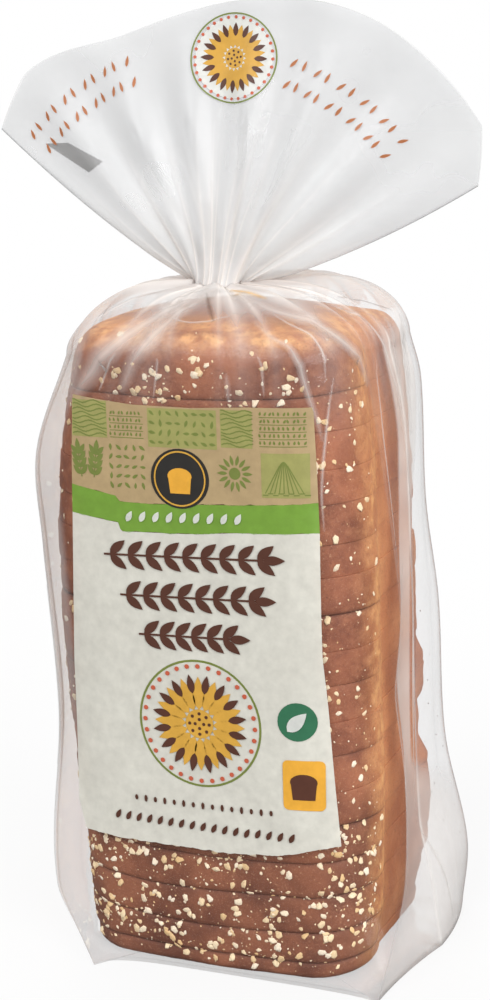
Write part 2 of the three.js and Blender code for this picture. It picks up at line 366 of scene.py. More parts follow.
def slice_rows(index, joints, outline, inward, random):
    """A slice's rings from its lower cut to its upper one, and how much crown, golden colour and painted joint shade
    each has.
    """
    low, high = joints[index], joints[index + 1]
    shift = random.uniform(-SLICE_SHIFT, SLICE_SHIFT, 2) * MM
    growth = 1 + random.uniform(*SLICE_GROWTH)
    random.uniform()  # Isn't used, but without it the later slices would be drawn differently
    wobble_points = np.column_stack([outline, np.full(len(outline), index * 0.05)])
    wobble = soft_noise(wobble_points, WOBBLE_SIZE, CRUST_SEED + index) * WOBBLE_HEIGHT
    at_back_edge = ramp(outline[:, 1], *BACK_EDGE_RISE_Y) * ramp(outline[:, 0], *BACK_EDGE_RISE_X)
    on_crown = ramp(-outline[:, 1], *CROWN_RISE)
    joint_share = mix(mix(PAN_SIDE_SHARE, BACK_SHARE, ramp(outline[:, 1], *BACK_RISE)), 1, on_crown)
    rings, crowns, golden_and_highlight, joint_shades = [], [], [], []
    for share in rim_shares(index):
        height = low + (high - low) * share
        pull = joint_pull(index, joints, height)
        inset = JOINT_ROUNDING * pull * joint_share + end_inset(height)
        waver = noise.noise(Vector((height / BACK_EDGE_WAVER_SIZE, 0.3, 0.7)))
        rim = outline * growth + inward * (inset + wobble)[:, None] + shift
        rim[:, 0] += at_back_edge * (table_at(BACK_EDGE, height) + BACK_EDGE_WAVER * waver)
        x, y = loaf_rim(rim[:, 0], rim[:, 1], height)
        under = joint_height(x, y, low, index)
        over = joint_height(x, y, high, index + 1)
        z = under + SLICE_GAP + (over - under - 2 * SLICE_GAP) * share
        rings.append(np.column_stack([x, y, np.maximum(z, LOAF_BASE_GAP)]))
        # The shoulder band is golden and partly a painted highlight; the heel's glow is its own colour
        stripe = hump(y, GOLDEN_HIGHLIGHT_Y, GOLDEN_HIGHLIGHT_WIDTH) * GOLDEN_HIGHLIGHT_STRENGTH
        golden_and_highlight.append(np.maximum(stripe, hump(height, LOAF_LENGTH, HEEL_GLOW_DEPTH)))
        crowns.append(on_crown)
        # The joint's painted shade, strongest where the joint is deepest
        joint_shades.append(JOINT_PAINTED_SHADE * pull**1.5 * joint_share)
    return rings, crowns, golden_and_highlight, joint_shades


def make_slice(index, joints, outline, materials, random):
    """One slice: a crust rim between two cut faces of crumb, or of crust at the loaf's two ends."""
    tangent = np.roll(outline, -1, axis=0) - np.roll(outline, 1, axis=0)
    inward = np.column_stack([-tangent[:, 1], tangent[:, 0]])
    inward /= np.linalg.norm(inward, axis=1)[:, None]
    rings, crowns, golden_and_highlight, joint_shades = slice_rows(index, joints, outline, inward, random)
    rows, size = len(rings), len(outline)
    body = np.vstack(rings)
    relief = sum(soft_noise(body, width, seed) * height for width, height, seed in BLISTERS)
    body[:, :2] -= np.tile(inward, (rows, 1)) * relief[:, None]
    faces, kinds = [], []
    for row in range(rows - 1):
        for i in range(size):
            a, b = row * size + i, row * size + (i + 1) % size
            faces.append((a, b, b + size, a + size))
            kinds.append(0)
    points = [body]
    count = len(body)
    for ring, is_upper in ((rings[0], False), (rings[-1], True)):
        is_crust = index == (SLICE_COUNT - 1 if is_upper else 0)
        level, number = (joints[index + 1], index + 1) if is_upper else (joints[index], index)
        start = (rows - 1) * size if is_upper else 0
        centre = ring.mean(axis=0)
        for scale, glow in CAP_RINGS:
            inner = centre + (ring - centre) * scale
            flat = joint_height(inner[:, 0], inner[:, 1], level, number)
            inner[:, 2] = flat - SLICE_GAP if is_upper else np.maximum(flat + SLICE_GAP, LOAF_BASE_GAP)
            is_middle = scale == CAP_RINGS[-1][0]
            points += [inner, inner.mean(axis=0)[None, :]] if is_middle else [inner]
            # Heel ends take their golden glow; cut faces are crown-coloured, a little golden, and take half the joint's
            # painted shade
            values = (0.0, glow, 0.0) if is_crust else (1.0, 0.1, 0.5)
            for kept, value in zip((crowns, golden_and_highlight, joint_shades), values):
                kept.append(np.full(size + is_middle, value))
            for i in range(size):
                a, b = start + i, start + (i + 1) % size
                c, d = count + (i + 1) % size, count + i
                faces.append((a, b, c, d) if is_upper else (b, a, d, c))
                kinds.append(0 if is_crust or scale == CAP_RINGS[0][0] else 1)
            start = count
            count += size
        for i in range(size):
            a, b = start + i, start + (i + 1) % size
            faces.append((a, b, count) if is_upper else (b, a, count))
            kinds.append(0 if is_crust else 1)
        count += 1
    piece = mesh_piece(f"slice_{index + 1:02d}", np.vstack(points), faces, materials)
    piece.data.polygons.foreach_set("material_index", np.array(kinds, np.int32))
    for name, values in (("crown", crowns), ("golden", golden_and_highlight), ("joint", joint_shades)):
        give_attribute(piece, name, np.concatenate(values))
    return piece


slice_random = np.random.default_rng(CRUST_SEED)
loaf_materials = (crust_material(), crumb_material())
loaf_joints = slice_joints()
loaf_outline = slice_outline(RIM_POINTS)
slices = []
for slice_index in range(SLICE_COUNT):
    bread = make_slice(slice_index, loaf_joints, loaf_outline, loaf_materials, slice_random)
    slices.append(bread)
    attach(bread, "root")
    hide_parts("bag")

# The oats: rolled flakes strewn on the wet dough and baked onto the crown, with broken bits and dust between them.
# They lie thick near the lower heel and under the upper one, and thin in between.
OAT_SEED = 14
OAT_LENGTH = 4.0 * MM
OAT_THICKNESS = 0.55 * MM
OAT_RIM_POINTS = 6
OAT_FORMS = 5
FLAKES_PER_SQUARE_METRE = 70000
BITS_PER_SQUARE_METRE = 90000
FLAKE_SCALES = (0.36, 1.15)
BIT_SCALES = (0.10, 0.32)
FLAKE_TILT = 0.32
# Where they lie: thick below one height and round another, thin elsewhere, in clumps, and on the crown alone
LOW_OATS_TOP = 95 * MM
LOW_OATS_FADE = 45 * MM
HIGH_OATS = 0.7
HIGH_OATS_Z = (222 * MM, 17 * MM)
HIGH_OATS_X = (4 * MM, 44 * MM)
THIN_OATS = 0.22
RIGHT_OATS = 0.10
RIGHT_OATS_START = 40 * MM
CLUMP_SIZE = 12 * MM
OAT_CROWN_RISE = (18 * MM, 14 * MM)
OAT_GROUND_BACK = -15 * MM


def flake_form(name, random):
    """One rolled oat flake: a thin, uneven oval with a dent along its middle."""
    turn = np.arange(OAT_RIM_POINTS) * 2 * np.pi / OAT_RIM_POINTS + random.uniform(-0.25, 0.25, OAT_RIM_POINTS)
    reach = OAT_LENGTH / 2 * random.uniform(0.62, 1.12, OAT_RIM_POINTS)
    narrow = random.uniform(0.62, 0.85)
    rim = np.column_stack([reach * np.cos(turn), reach * np.sin(turn) * narrow, np.zeros(OAT_RIM_POINTS)])
    rim[:, 2] = random.uniform(-0.12, 0.2, OAT_RIM_POINTS) * OAT_THICKNESS
    upper = rim * (0.72, 0.72, 1) + (0, 0, OAT_THICKNESS * 0.5)
    lower = rim * (0.8, 0.8, 1) - (0, 0, OAT_THICKNESS * 0.4)
    middle = np.array([[0, 0, OAT_THICKNESS * 0.32], [0, 0, -OAT_THICKNESS * 0.5]])
    points = np.vstack([upper, rim, lower, middle])
    top, bottom = 3 * OAT_RIM_POINTS, 3 * OAT_RIM_POINTS + 1
    faces = []
    for i in range(OAT_RIM_POINTS):
        j = (i + 1) % OAT_RIM_POINTS
        faces.append((i, j, top))
        faces.append((i + OAT_RIM_POINTS, j + OAT_RIM_POINTS, j, i))
        faces.append((i + 2 * OAT_RIM_POINTS, j + 2 * OAT_RIM_POINTS, j + OAT_RIM_POINTS, i + OAT_RIM_POINTS))
        faces.append((j + 2 * OAT_RIM_POINTS, i + 2 * OAT_RIM_POINTS, bottom))
    return mesh_piece(name, points, faces, [])


def oat_cover(x, y, z):
    """How thickly the oats lie at each point of the crust, from 0 to 1."""
    low = ramp(LOW_OATS_TOP - z, 0, LOW_OATS_FADE)
    high = HIGH_OATS * hump(z, *HIGH_OATS_Z) * hump(x, *HIGH_OATS_X)
    thin = THIN_OATS + RIGHT_OATS * (x > RIGHT_OATS_START)
    clumps = soft_noise(np.column_stack([x, y, z]), CLUMP_SIZE, 9)
    cover = np.maximum(np.maximum(low, high), thin) * np.clip(0.75 + 1.1 * clumps, 0.08, 1.4)
    at_top = np.clip((LOAF_LENGTH - 1 * MM - z) / (8 * MM), 0.4, 1)
    return cover * ramp(-y, *OAT_CROWN_RISE) * at_top * ramp(z, 2 * MM, 6 * MM)


def crown_surface(slices):
    """The slices' crown faces as one mesh, with the oats' cover at each point."""
    points, faces = [], []
    for bread in slices:
        mesh = bread.data
        spots = np.empty(len(mesh.vertices) * 3, np.float32)
        mesh.vertices.foreach_get("co", spots)
        start = sum(len(part) for part in points)
        points.append(spots.reshape(-1, 3))
        for face in mesh.polygons:
            if face.material_index == 0 and face.center.y < OAT_GROUND_BACK and abs(face.normal.z) < 0.9:
                faces.append(tuple(start + i for i in face.vertices))
    points = np.vstack(points).astype(float)
    surface = mesh_piece("crown_surface", points, faces, [])
    give_attribute(surface, "oat_cover", oat_cover(*points.T))
    return surface


def scatter_tree(name, forms, material):
    """A tree that strews the forms over a surface, flat on it, and makes them one mesh."""
    tree = bpy.data.node_groups.new(name, "GeometryNodeTree")
    sockets = tree.interface
    sockets.new_socket("Geometry", in_out="INPUT", socket_type="NodeSocketGeometry")
    for label in ("Density", "Smallest", "Largest"):
        sockets.new_socket(label, in_out="INPUT", socket_type="NodeSocketFloat")
    sockets.new_socket("Seed", in_out="INPUT", socket_type="NodeSocketInt")
    sockets.new_socket("Geometry", in_out="OUTPUT", socket_type="NodeSocketGeometry")
    given = add_node(tree, "NodeGroupInput").outputs
    cover = add_node(tree, "GeometryNodeInputNamedAttribute", {"Name": "oat_cover"}, data_type="FLOAT").outputs[0]
    density = arithmetic(tree, "MULTIPLY", cover, given["Density"])
    spread = add_node(tree, "GeometryNodeDistributePointsOnFaces", {
        "Mesh": given["Geometry"], "Density": density, "Seed": given["Seed"],
    })
    flat = add_node(tree, "FunctionNodeAlignRotationToVector", {"Vector": spread.outputs["Normal"]}, axis="Z")
    spin = add_node(tree, "FunctionNodeRandomValue", {"Seed": 3}, data_type="FLOAT_VECTOR")
    spin.inputs[0].default_value = (-FLAKE_TILT, -FLAKE_TILT, 0)
    spin.inputs[1].default_value = (FLAKE_TILT, FLAKE_TILT, 2 * math.pi)
    turned = add_node(tree, "FunctionNodeRotateRotation", {
        "Rotation": flat.outputs[0], "Rotate By": spin.outputs[0],
    }, rotation_space="LOCAL")
    size = add_node(tree, "FunctionNodeRandomValue", {"Seed": 7}, data_type="FLOAT")
    tree.links.new(given["Smallest"], size.inputs[2])
    tree.links.new(given["Largest"], size.inputs[3])
    pick = add_node(tree, "GeometryNodeCollectionInfo", {
        "Collection": forms, "Separate Children": True, "Reset Children": True,
    })
    laid = add_node(tree, "GeometryNodeInstanceOnPoints", {
        "Points": spread.outputs["Points"], "Instance": pick.outputs[0], "Pick Instance": True,
        "Rotation": turned.outputs[0], "Scale": size.outputs[1],
    })
    shade = add_node(tree, "FunctionNodeRandomValue", {"Seed": 11}, data_type="FLOAT")
    tinted = add_node(tree, "GeometryNodeStoreNamedAttribute", {
        "Geometry": laid.outputs[0], "Name": "shade", "Value": shade.outputs[1],
    }, data_type="FLOAT", domain="INSTANCE")
    whole = add_node(tree, "GeometryNodeRealizeInstances", {"Geometry": tinted.outputs[0]})
    finished = add_node(tree, "GeometryNodeSetMaterial", {"Geometry": whole.outputs[0], "Material": material})
    add_node(tree, "NodeGroupOutput", {"Geometry": finished.outputs[0]})
    return tree


def scattered(name, surface, tree, settings):
    """A plain mesh of what the tree strews over the surface."""
    holder = surface.copy()
    holder.data = surface.data.copy()
    bpy.context.scene.collection.objects.link(holder)
    modifier = holder.modifiers.new("scatter", "NODES")
    modifier.node_group = tree
    for socket in tree.interface.items_tree:
        if socket.in_out == "INPUT" and socket.name in settings:
            modifier[socket.identifier] = settings[socket.name]
    evaluated = holder.evaluated_get(bpy.context.evaluated_depsgraph_get())
    mesh = bpy.data.meshes.new_from_object(evaluated)
    mesh.name = name
    mesh.shade_smooth()
    piece = bpy.data.objects.new(name, mesh)
    bpy.context.scene.collection.objects.link(piece)
    bpy.data.objects.remove(holder)
    return piece


def oat_material():
    """Dry oat flakes, from nearly white to golden, each in its own shade, with a mealy grain."""
    material, tree = new_material("rolled_oats")
    place = add_node(tree, "ShaderNodeTexCoord").outputs["Object"]
    meal = grain(tree, place, 1500)
    shade = attribute(tree, "shade")
    pale = mixed_colour(tree, ranged(tree, shade, 0.0, 0.55), (0.97, 0.86, 0.70, 1), (0.92, 0.75, 0.50, 1))
    colour = mixed_colour(tree, ranged(tree, shade, 0.55, 1.0), pale, (0.78, 0.52, 0.25, 1))
    colour = mixed_colour(tree, ranged(tree, meal, 0.55, 0.3, 0, 0.35), colour, (0.50, 0.31, 0.15, 1))
    bump = add_node(tree, "ShaderNodeBump", {"Height": meal, "Strength": 0.4, "Distance": 0.0003})
    shader = add_node(tree, "ShaderNodeBsdfPrincipled", {
        "Base Color": colour, "Roughness": 0.75, "Specular IOR Level": 0.25, "Normal": bump.outputs["Normal"],
    })
    add_node(tree, "ShaderNodeOutputMaterial", {"Surface": shader.outputs[0]})
    return material


flake_random = np.random.default_rng(OAT_SEED)
flake_forms = bpy.data.collections.new("flake_forms")
for flake_index in range(OAT_FORMS):
    flake = flake_form(f"flake_form_{flake_index}", flake_random)
    bpy.context.scene.collection.objects.unlink(flake)
    flake_forms.objects.link(flake)
oat_ground = crown_surface(slices)
oat_tree = scatter_tree("strewn_oats", flake_forms, oat_material())
oat_kinds = (
    ("oat_flakes", FLAKES_PER_SQUARE_METRE, FLAKE_SCALES, 2),
    ("oat_bits", BITS_PER_SQUARE_METRE, BIT_SCALES, 6),
)
for oat_name, oat_density, oat_scales, oat_seed in oat_kinds:
    oats = scattered(oat_name, oat_ground, oat_tree, {
        "Density": float(oat_density), "Smallest": oat_scales[0], "Largest": oat_scales[1], "Seed": oat_seed,
    })
    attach(oats, "root")
    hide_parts("bag")
bpy.data.objects.remove(oat_ground)
for flake in list(flake_forms.objects):
    bpy.data.objects.remove(flake)
bpy.data.collections.remove(flake_forms)

# The bag's film: a gusseted tube of clear polyethylene, sealed across its base and about 0.04 mm thick.
# The loaf fills it, its side gussets fold in beside the loaf, and it is gathered to a neck above the upper heel.
FRONT_RIGHT_FOLD = (
    (0, 70.5, -54.5), (12, 71, -42), (34, 70.8, -22), (78, 68.5, -14), (108, 65.5, -13),
    (134, 67.5, -13), (162, 65.5, -14), (194, 62, -16), (232, 58, -20),
)
RIGHT_CREASE = ((0, 78, 0), (25, 73, 4), (50, 67.5, 6), (150, 66, 5), (200, 65, 4), (215, 63.5, 3), (232, 60, 2))
BACK_RIGHT_FOLD = (
    (0, 74, 40), (27, 75.5, 43), (70, 66, 45), (126, 63.5, 46), (165, 58.5, 47), (215, 57.5, 45.5), (232, 54, 43.5),
)
BACK_LEFT_FOLD = ((0, -70, 42), (20, -70, 45), (70, -64, 46), (150, -63, 47), (232, -53, 44))
LEFT_CREASE = ((0, -72, 0), (30, -70, 2), (60, -67, 3), (150, -67, 2), (205, -64, 1), (232, -58, 0))
FRONT_LEFT_FOLD = (
    (0, -42, -60), (22, -68, -37), (94, -65.5, -30.6), (160, -68.5, -31.5), (195, -68.5, -32.8), (232, -54.5, -29.2),
)
FRONT_CROWN_Y = -50.5 * MM
FRONT_CROWN_POWER = 5
BACK_SWELL = 4 * MM
SIDE_SWELL = -1.5 * MM
SHOULDER_BOTTOM = 232 * MM
SHOULDER_RISE = 26 * MM
RIGHT_SHOULDER_FULLNESS = 2
LEFT_SHOULDER_FULLNESS = 2.3
BACK_SHOULDER_GAIN = 0.5
SHOULDER_CORNER_CUT = 0.4
BACK_PUFF = 4 * MM
BACK_PUFF_LEFT_END = -0.6
NECK_X = -7 * MM
NECK_SCALE = 0.15
NECK_DIP = 2.5 * MM
NECK_DIP_START = 0.6
PLEAT_COUNT = 13
PLEAT_DEPTH = 2.8 * MM
FAN_CENTRE_Z = 249.5 * MM
FAN_LEFT_ANGLE = -52.5
FAN_RIGHT_ANGLE = 68
FAN_EDGE_DROOP = 0.11
FAN_SHORTEST = 102.5 * MM
FAN_SHORTEST_ANGLE = -18
FAN_RIGHT_GAIN = 14.5 * MM
FAN_RIGHT_FULL_ANGLE = 36
FAN_RIGHT_CORNER_ANGLE = 58.5
FAN_RIGHT_CUT = 11 * MM
FAN_LEFT_GAIN = 8.5 * MM
FAN_LEFT_CORNER_ANGLE = -41
FAN_LEFT_CUT = 6 * MM
FAN_YAW = math.radians(8)
FAN_START = 0.09
FAN_SPREAD_END = 0.22
FAN_NECK_HALF_THICKNESS = 6.5 * MM
FAN_BELLY = 9 * MM
FAN_MOUTH_HALF_THICKNESS = 1.6 * MM
FAN_EDGE_SHARE = 0.15
FAN_PLEAT_COUNT = 7
FAN_PLEAT_DEPTH = 2.2 * MM
BASE_CENTRE_Y = -4 * MM
FILM_GREY = (0.585, 0.59, 0.595, 1)
# The milky film's white is warm: that tint is painted light bounced from the crust
FILM_WHITE = (0.76, 0.705, 0.66, 1)
# A milky veil runs down the right gusset, between these steps at each level of the body: the film lies doubled there,
# and its white is partly a painted reflection
VEIL_LEVELS = (0, 0.16, 0.24, 0.32, 0.47, 0.56, 0.66, 0.75, 0.85, 0.95)
VEIL_LEFT = (22.2, 22.6, 23.4, 24.2, 23.4, 24.2, 26, 27.4, 28.4, 28.6)
VEIL_RIGHT = (38, 38, 34, 28, 28.8, 29, 29.6, 30.6, 32.5, 34.5)
VEIL_HAZE_AND_REFLECTION = 0.5
# One turn round the bag is counted in steps: 22 across the front and the back, and 8 for each half of a gusset.
FACE_STEPS = 22
GUSSET_STEPS = 8
TURN_STEPS = 2 * FACE_STEPS + 4 * GUSSET_STEPS
COLUMNS_PER_STEP = 6
BODY_ROWS = 96
SHOULDER_ROWS = 44
FAN_ROWS = 72
FAN_ROW_CROWDING = 1.25


def smooth(low, high, value):
    """0 below low, 1 above high, and a smooth rise between them."""
    share = np.clip((value - low) / (high - low), 0, 1)
    return share * share * (3 - 2 * share)


def fold_at(stations, height):
    """A fold's x and y at one height, on a smooth curve through its stations."""
    table = np.array(stations, float) * MM
    last = len(table) - 1
    i = int(np.clip(np.searchsorted(table[:, 0], height, side="right") - 1, 0, last - 1))
    rise = table[i + 1, 0] - table[i, 0]
    share = np.clip((height - table[i, 0]) / rise, 0, 1)

    def slope(station):
        before, after = table[max(station - 1, 0)], table[min(station + 1, last)]
        return (after[1:] - before[1:]) / (after[0] - before[0])

    leaving = share * (1 - share) ** 2 * rise
    arriving = share**2 * (share - 1) * rise
    return mix(table[i, 1:], table[i + 1, 1:], smooth(0, 1, share)) + leaving * slope(i) + arriving * slope(i + 1)


def gusset_panel(start, end, shares, swell):
    """Points of a straight panel between two folds that swells by some millimetres at its middle."""
    way = end - start
    outward = np.array([way[1], -way[0]]) / np.hypot(*way)
    return start + np.outer(shares, way) + np.outer(swell * 4 * shares * (1 - shares), outward)


def front_panel(left, right, across):
    """The front film at -1 to 1 across: it lies on the crown and leaves it for the two front folds."""
    crown = np.sqrt(1 - np.abs(across) ** FRONT_CROWN_POWER)
    share = (across + 1) / 2
    fold_y = mix(left[1], right[1], share)
    return np.column_stack([mix(left[0], right[0], share), mix(fold_y, FRONT_CROWN_Y, crown)])


def body_ring(height, steps):
    """One level ring of the filled bag, at each step of a turn."""
    folds = (FRONT_LEFT_FOLD, FRONT_RIGHT_FOLD, RIGHT_CREASE, BACK_RIGHT_FOLD, BACK_LEFT_FOLD, LEFT_CREASE)
    front_left, front_right, right, back_right, back_left, left = (fold_at(fold, height) for fold in folds)
    ring = np.empty((len(steps), 2))
    is_front = steps < FACE_STEPS
    ring[is_front] = front_panel(front_left, front_right, -np.cos(np.pi * steps[is_front] / FACE_STEPS))
    start = FACE_STEPS
    for first, second, count, swell in (
        (front_right, right, GUSSET_STEPS, SIDE_SWELL),
        (right, back_right, GUSSET_STEPS, -SIDE_SWELL),
        (back_right, back_left, FACE_STEPS, BACK_SWELL),
        (back_left, left, GUSSET_STEPS, -SIDE_SWELL),
        (left, front_left, GUSSET_STEPS, SIDE_SWELL),
    ):
        inside = (steps >= start) & (steps < start + count)
        ring[inside] = gusset_panel(first, second, (steps[inside] - start) / count, swell)
        start += count
    return np.column_stack([ring, np.full(len(steps), height)])


def shoulder_ring(rim, steps, turn):
    """One ring of the shoulders, where turn goes from 0 at the body to 1 at the neck."""
    wide = rim[:, 0] / np.abs(rim[:, 0]).max()
    deep = rim[:, 1] / np.abs(rim[:, 1]).max()
    fullness = mix(LEFT_SHOULDER_FULLNESS, RIGHT_SHOULDER_FULLNESS, (wide + 1) / 2)
    fullness = fullness + BACK_SHOULDER_GAIN * deep - SHOULDER_CORNER_CUT * np.abs(wide * deep)
    angle = np.arccos(NECK_SCALE ** (fullness / 2)) * turn
    scale = np.cos(angle) ** (2 / fullness)
    closing = 1 - scale
    pleat = closing * np.sqrt(scale) * np.cos(2 * np.pi * PLEAT_COUNT * steps / TURN_STEPS)
    dip = NECK_DIP * smooth(NECK_DIP_START, 1, turn)
    puff = BACK_PUFF * np.sin(np.pi * turn) ** 2 * np.clip(deep, 0, 1) * np.clip(wide - BACK_PUFF_LEFT_END, 0, 1)
    height = SHOULDER_BOTTOM + SHOULDER_RISE * np.sin(angle) - dip + puff + PLEAT_DEPTH * pleat
    return np.column_stack([NECK_X * closing + rim[:, 0] * scale, rim[:, 1] * scale, height])


def fan_reach(angle):
    """The fan's length from its centre to the mouth, in a direction in degrees from straight up."""
    gain = FAN_RIGHT_GAIN * smooth(FAN_SHORTEST_ANGLE, FAN_RIGHT_FULL_ANGLE, angle)
    gain = gain + FAN_LEFT_GAIN * smooth(-FAN_SHORTEST_ANGLE, -FAN_LEFT_CORNER_ANGLE, -angle)
    past_right = (angle - FAN_RIGHT_CORNER_ANGLE) / (FAN_RIGHT_ANGLE - FAN_RIGHT_CORNER_ANGLE)
    past_left = (angle - FAN_LEFT_CORNER_ANGLE) / (FAN_LEFT_ANGLE - FAN_LEFT_CORNER_ANGLE)
    return FAN_SHORTEST + gain - FAN_RIGHT_CUT * np.maximum(0, past_right) - FAN_LEFT_CUT * np.maximum(0, past_left)


def fan_points(across, is_front, rise):
    """Points of the fan's front or back sheet: across goes from 0 at the left edge to 1, rise from neck to mouth."""
    droop = 1 + FAN_EDGE_DROOP * (1 - rise)
    belly = FAN_BELLY * np.sin(np.pi * rise) * (1 - rise)
    half_thickness = mix(FAN_NECK_HALF_THICKNESS, FAN_MOUTH_HALF_THICKNESS, smooth(0, 1, rise)) + belly
    angle = mix(FAN_LEFT_ANGLE, FAN_RIGHT_ANGLE, across)
    turned = np.radians(angle * droop)
    reach = fan_reach(angle) * mix(FAN_START, 1, rise)
    roundness = np.sqrt(np.maximum(0, 1 - (2 * across - 1) ** 2))
    pleat = FAN_PLEAT_DEPTH * np.sin(np.pi * rise) * roundness * np.sin(2 * np.pi * FAN_PLEAT_COUNT * across)
    depth = np.where(is_front, -1, 1) * half_thickness * mix(roundness, 1, FAN_EDGE_SHARE) + pleat
    sideways = reach * np.sin(turned)
    return np.stack([
        NECK_X + sideways * np.cos(FAN_YAW) - depth * np.sin(FAN_YAW),
        sideways * np.sin(FAN_YAW) + depth * np.cos(FAN_YAW),
        FAN_CENTRE_Z + reach * np.cos(turned),
    ], axis=-1)


def fan_ring(neck, steps, rise):
    """One ring of the fan, which starts at the neck's ring and spreads into two sheets."""
    turn = (steps + GUSSET_STEPS) % TURN_STEPS
    is_front = turn < TURN_STEPS / 2
    across = np.where(is_front, turn, TURN_STEPS - turn) / (TURN_STEPS / 2)
    return mix(neck, fan_points(across, is_front, rise), smooth(0, FAN_SPREAD_END, rise))


def ridges(steps, count, seed):
    """Sharp, uneven ridges round the bag, from 0 to 1, that meet at the end of a turn."""
    random = np.random.default_rng(seed)
    phase = 2 * np.pi * steps / TURN_STEPS
    warp = sum(random.uniform(0.1, 0.5) * np.sin(k * phase + random.uniform(0, 6.28)) for k in (1, 2, 3, 5))
    return 1 - np.abs(np.sin((count * phase + warp * 3) / 2))


def grid_normals(points):
    """Unit normals of a grid of points whose rows go up and whose columns go round."""
    around = np.roll(points, -1, axis=1) - np.roll(points, 1, axis=1)
    upward = np.gradient(points, axis=0)
    normals = np.cross(around, upward)
    length = np.linalg.norm(normals, axis=2, keepdims=True)
    return normals / np.maximum(length, 1e-12)


def film_grid():
    """The film's points as rows and columns, with the step of each column and how far up each row lies."""
    steps = np.arange(TURN_STEPS * COLUMNS_PER_STEP) / COLUMNS_PER_STEP
    heights = np.linspace(0, SHOULDER_BOTTOM, BODY_ROWS)
    rings = [body_ring(height, steps) for height in heights]
    rim = rings[-1]
    turns = np.linspace(0, 1, SHOULDER_ROWS + 1)[1:]
    rings += [shoulder_ring(rim, steps, turn) for turn in turns]
    rises = np.linspace(0, 1, FAN_ROWS + 1)[1:] ** FAN_ROW_CROWDING
    rings += [fan_ring(rings[BODY_ROWS + SHOULDER_ROWS - 1], steps, rise) for rise in rises]
    grid = np.array(rings)
    body_share = np.concatenate([heights / SHOULDER_BOTTOM, np.ones(SHOULDER_ROWS + FAN_ROWS)])
    turn_share = np.concatenate([np.zeros(BODY_ROWS), turns, np.ones(FAN_ROWS)])
    rise_share = np.concatenate([np.zeros(BODY_ROWS + SHOULDER_ROWS), rises])
    return grid, steps, body_share[:, None], turn_share[:, None], rise_share[:, None]


def window(value, low, high, edge):
    """1 between low and high, falling to 0 over an edge outside them."""
    return smooth(low - edge, low, value) * (1 - smooth(high, high + edge, value))


def film_veil_and_reflection(step, body):
    """Where the slack of the right front fold lies doubled over the loaf's side, whitened partly by a painted
    reflection, from 0 to 1.
    """
    left_edge, right_edge = (np.interp(body, VEIL_LEVELS, edge) for edge in (VEIL_LEFT, VEIL_RIGHT))
    soft = 0.3 + 3.2 * (1 - smooth(0.2, 0.36, body))
    across = smooth(left_edge - 0.5, left_edge + 0.3, step)
    across = across * (1 - smooth(right_edge - soft, right_edge + 2 * soft, step))
    return across * window(body, -0.1, 0.97, 0.1) * (0.7 + 0.3 * smooth(0.1, 0.35, body))


def film_haze(steps, body, turn, rise, main, small):
    """How milky the film is: clear over the bread, hazy in the gussets, and white where it is gathered."""
    step = steps[None, :]
    below = 1 - smooth(0.0, 0.35, turn)
    wavering = 0.9 + 0.14 * np.sin(23 * body + 1.3 * np.sin(9 * body))
    strip = window(step, 22.4, 29.6, 0.5) * 0.06
    strip = strip + film_veil_and_reflection(step, body) * VEIL_HAZE_AND_REFLECTION * wavering
    right = window(step, 30.2, 37.6, 0.6) * (0.14 + 0.14 * small**2 + 0.10 * (1 - smooth(0.05, 0.2, body)))
    back = window(step, 38.5, 59.5, 1.0) * 0.07
    left = window(step, 60.5, 75.6, 0.6) * (0.05 + 0.05 * small**2 + 0.20 * smooth(0.45, 0.8, body))
    left = left + (0.42 * np.exp(-(step / 1.5) ** 2) + 0.26 * window(step, 2.6, 4.6, 0.7)) * smooth(0.2, 0.4, body)
    haze = 0.012 + (strip + right + back + left) * below
    # Thin white lines along the bag's folds: partly the folded film's haze, partly painted highlights
    fold_steps = np.array([0, FACE_STEPS + GUSSET_STEPS, FACE_STEPS + 2 * GUSSET_STEPS,
                           2 * FACE_STEPS + 2 * GUSSET_STEPS, 2 * FACE_STEPS + 3 * GUSSET_STEPS, TURN_STEPS])
    fold_distance = np.abs(steps[:, None] - fold_steps[None, :]).min(axis=1)[None, :]
    haze = haze + 0.40 * np.exp(-(fold_distance / 0.16) ** 2) * below
    least = 0.22 + 0.5 * smooth(0.35, 0.8, turn)
    streak = least + (1 - least) * np.maximum(main**2, 0.8 * small**3)
    shoulder = 0.12 * smooth(0.84, 1.0, body) + 0.22 * smooth(0.0, 0.3, turn) + 0.5 * smooth(0.3, 0.7, turn)
    shoulder = shoulder * streak * (1 - smooth(0.0, 0.2, rise))
    fan_streak = main**4 * (1 - smooth(0.05, 0.75, rise)) + 0.6 * small**4 * (1 - smooth(0.0, 0.45, rise))
    fan = smooth(0.0, 0.12, rise) * (0.38 + 0.28 * (1 - smooth(0.0, 0.35, rise)) + 0.28 * fan_streak)
    return np.clip(haze * (rise <= 0) + shoulder + fan, 0, 0.93)


def film_milk(steps, body, turn, rise, main, small):
    """How white the haze is: grey where the film hangs free, and white on pleats."""
    gathered = smooth(0.45, 1.0, turn) * (1 - smooth(0.05, 0.45, rise))
    pleats = np.maximum(main, small) ** 3 * (1 - smooth(0.1, 0.7, rise)) * smooth(0.0, 0.2, turn)
    step = steps[None, :]
    folded = 0.8 * film_veil_and_reflection(step, body) + 0.9 * (1 - smooth(3, 6, step))
    front_edge = (folded + 0.3 * smooth(0.8, 1.0, body)) * (1 - smooth(0, 0.4, turn))
    return np.clip(front_edge + 0.3 * smooth(0, 0.4, turn) * (rise <= 0) + 0.2 * gathered + 0.6 * pleats, 0, 1)


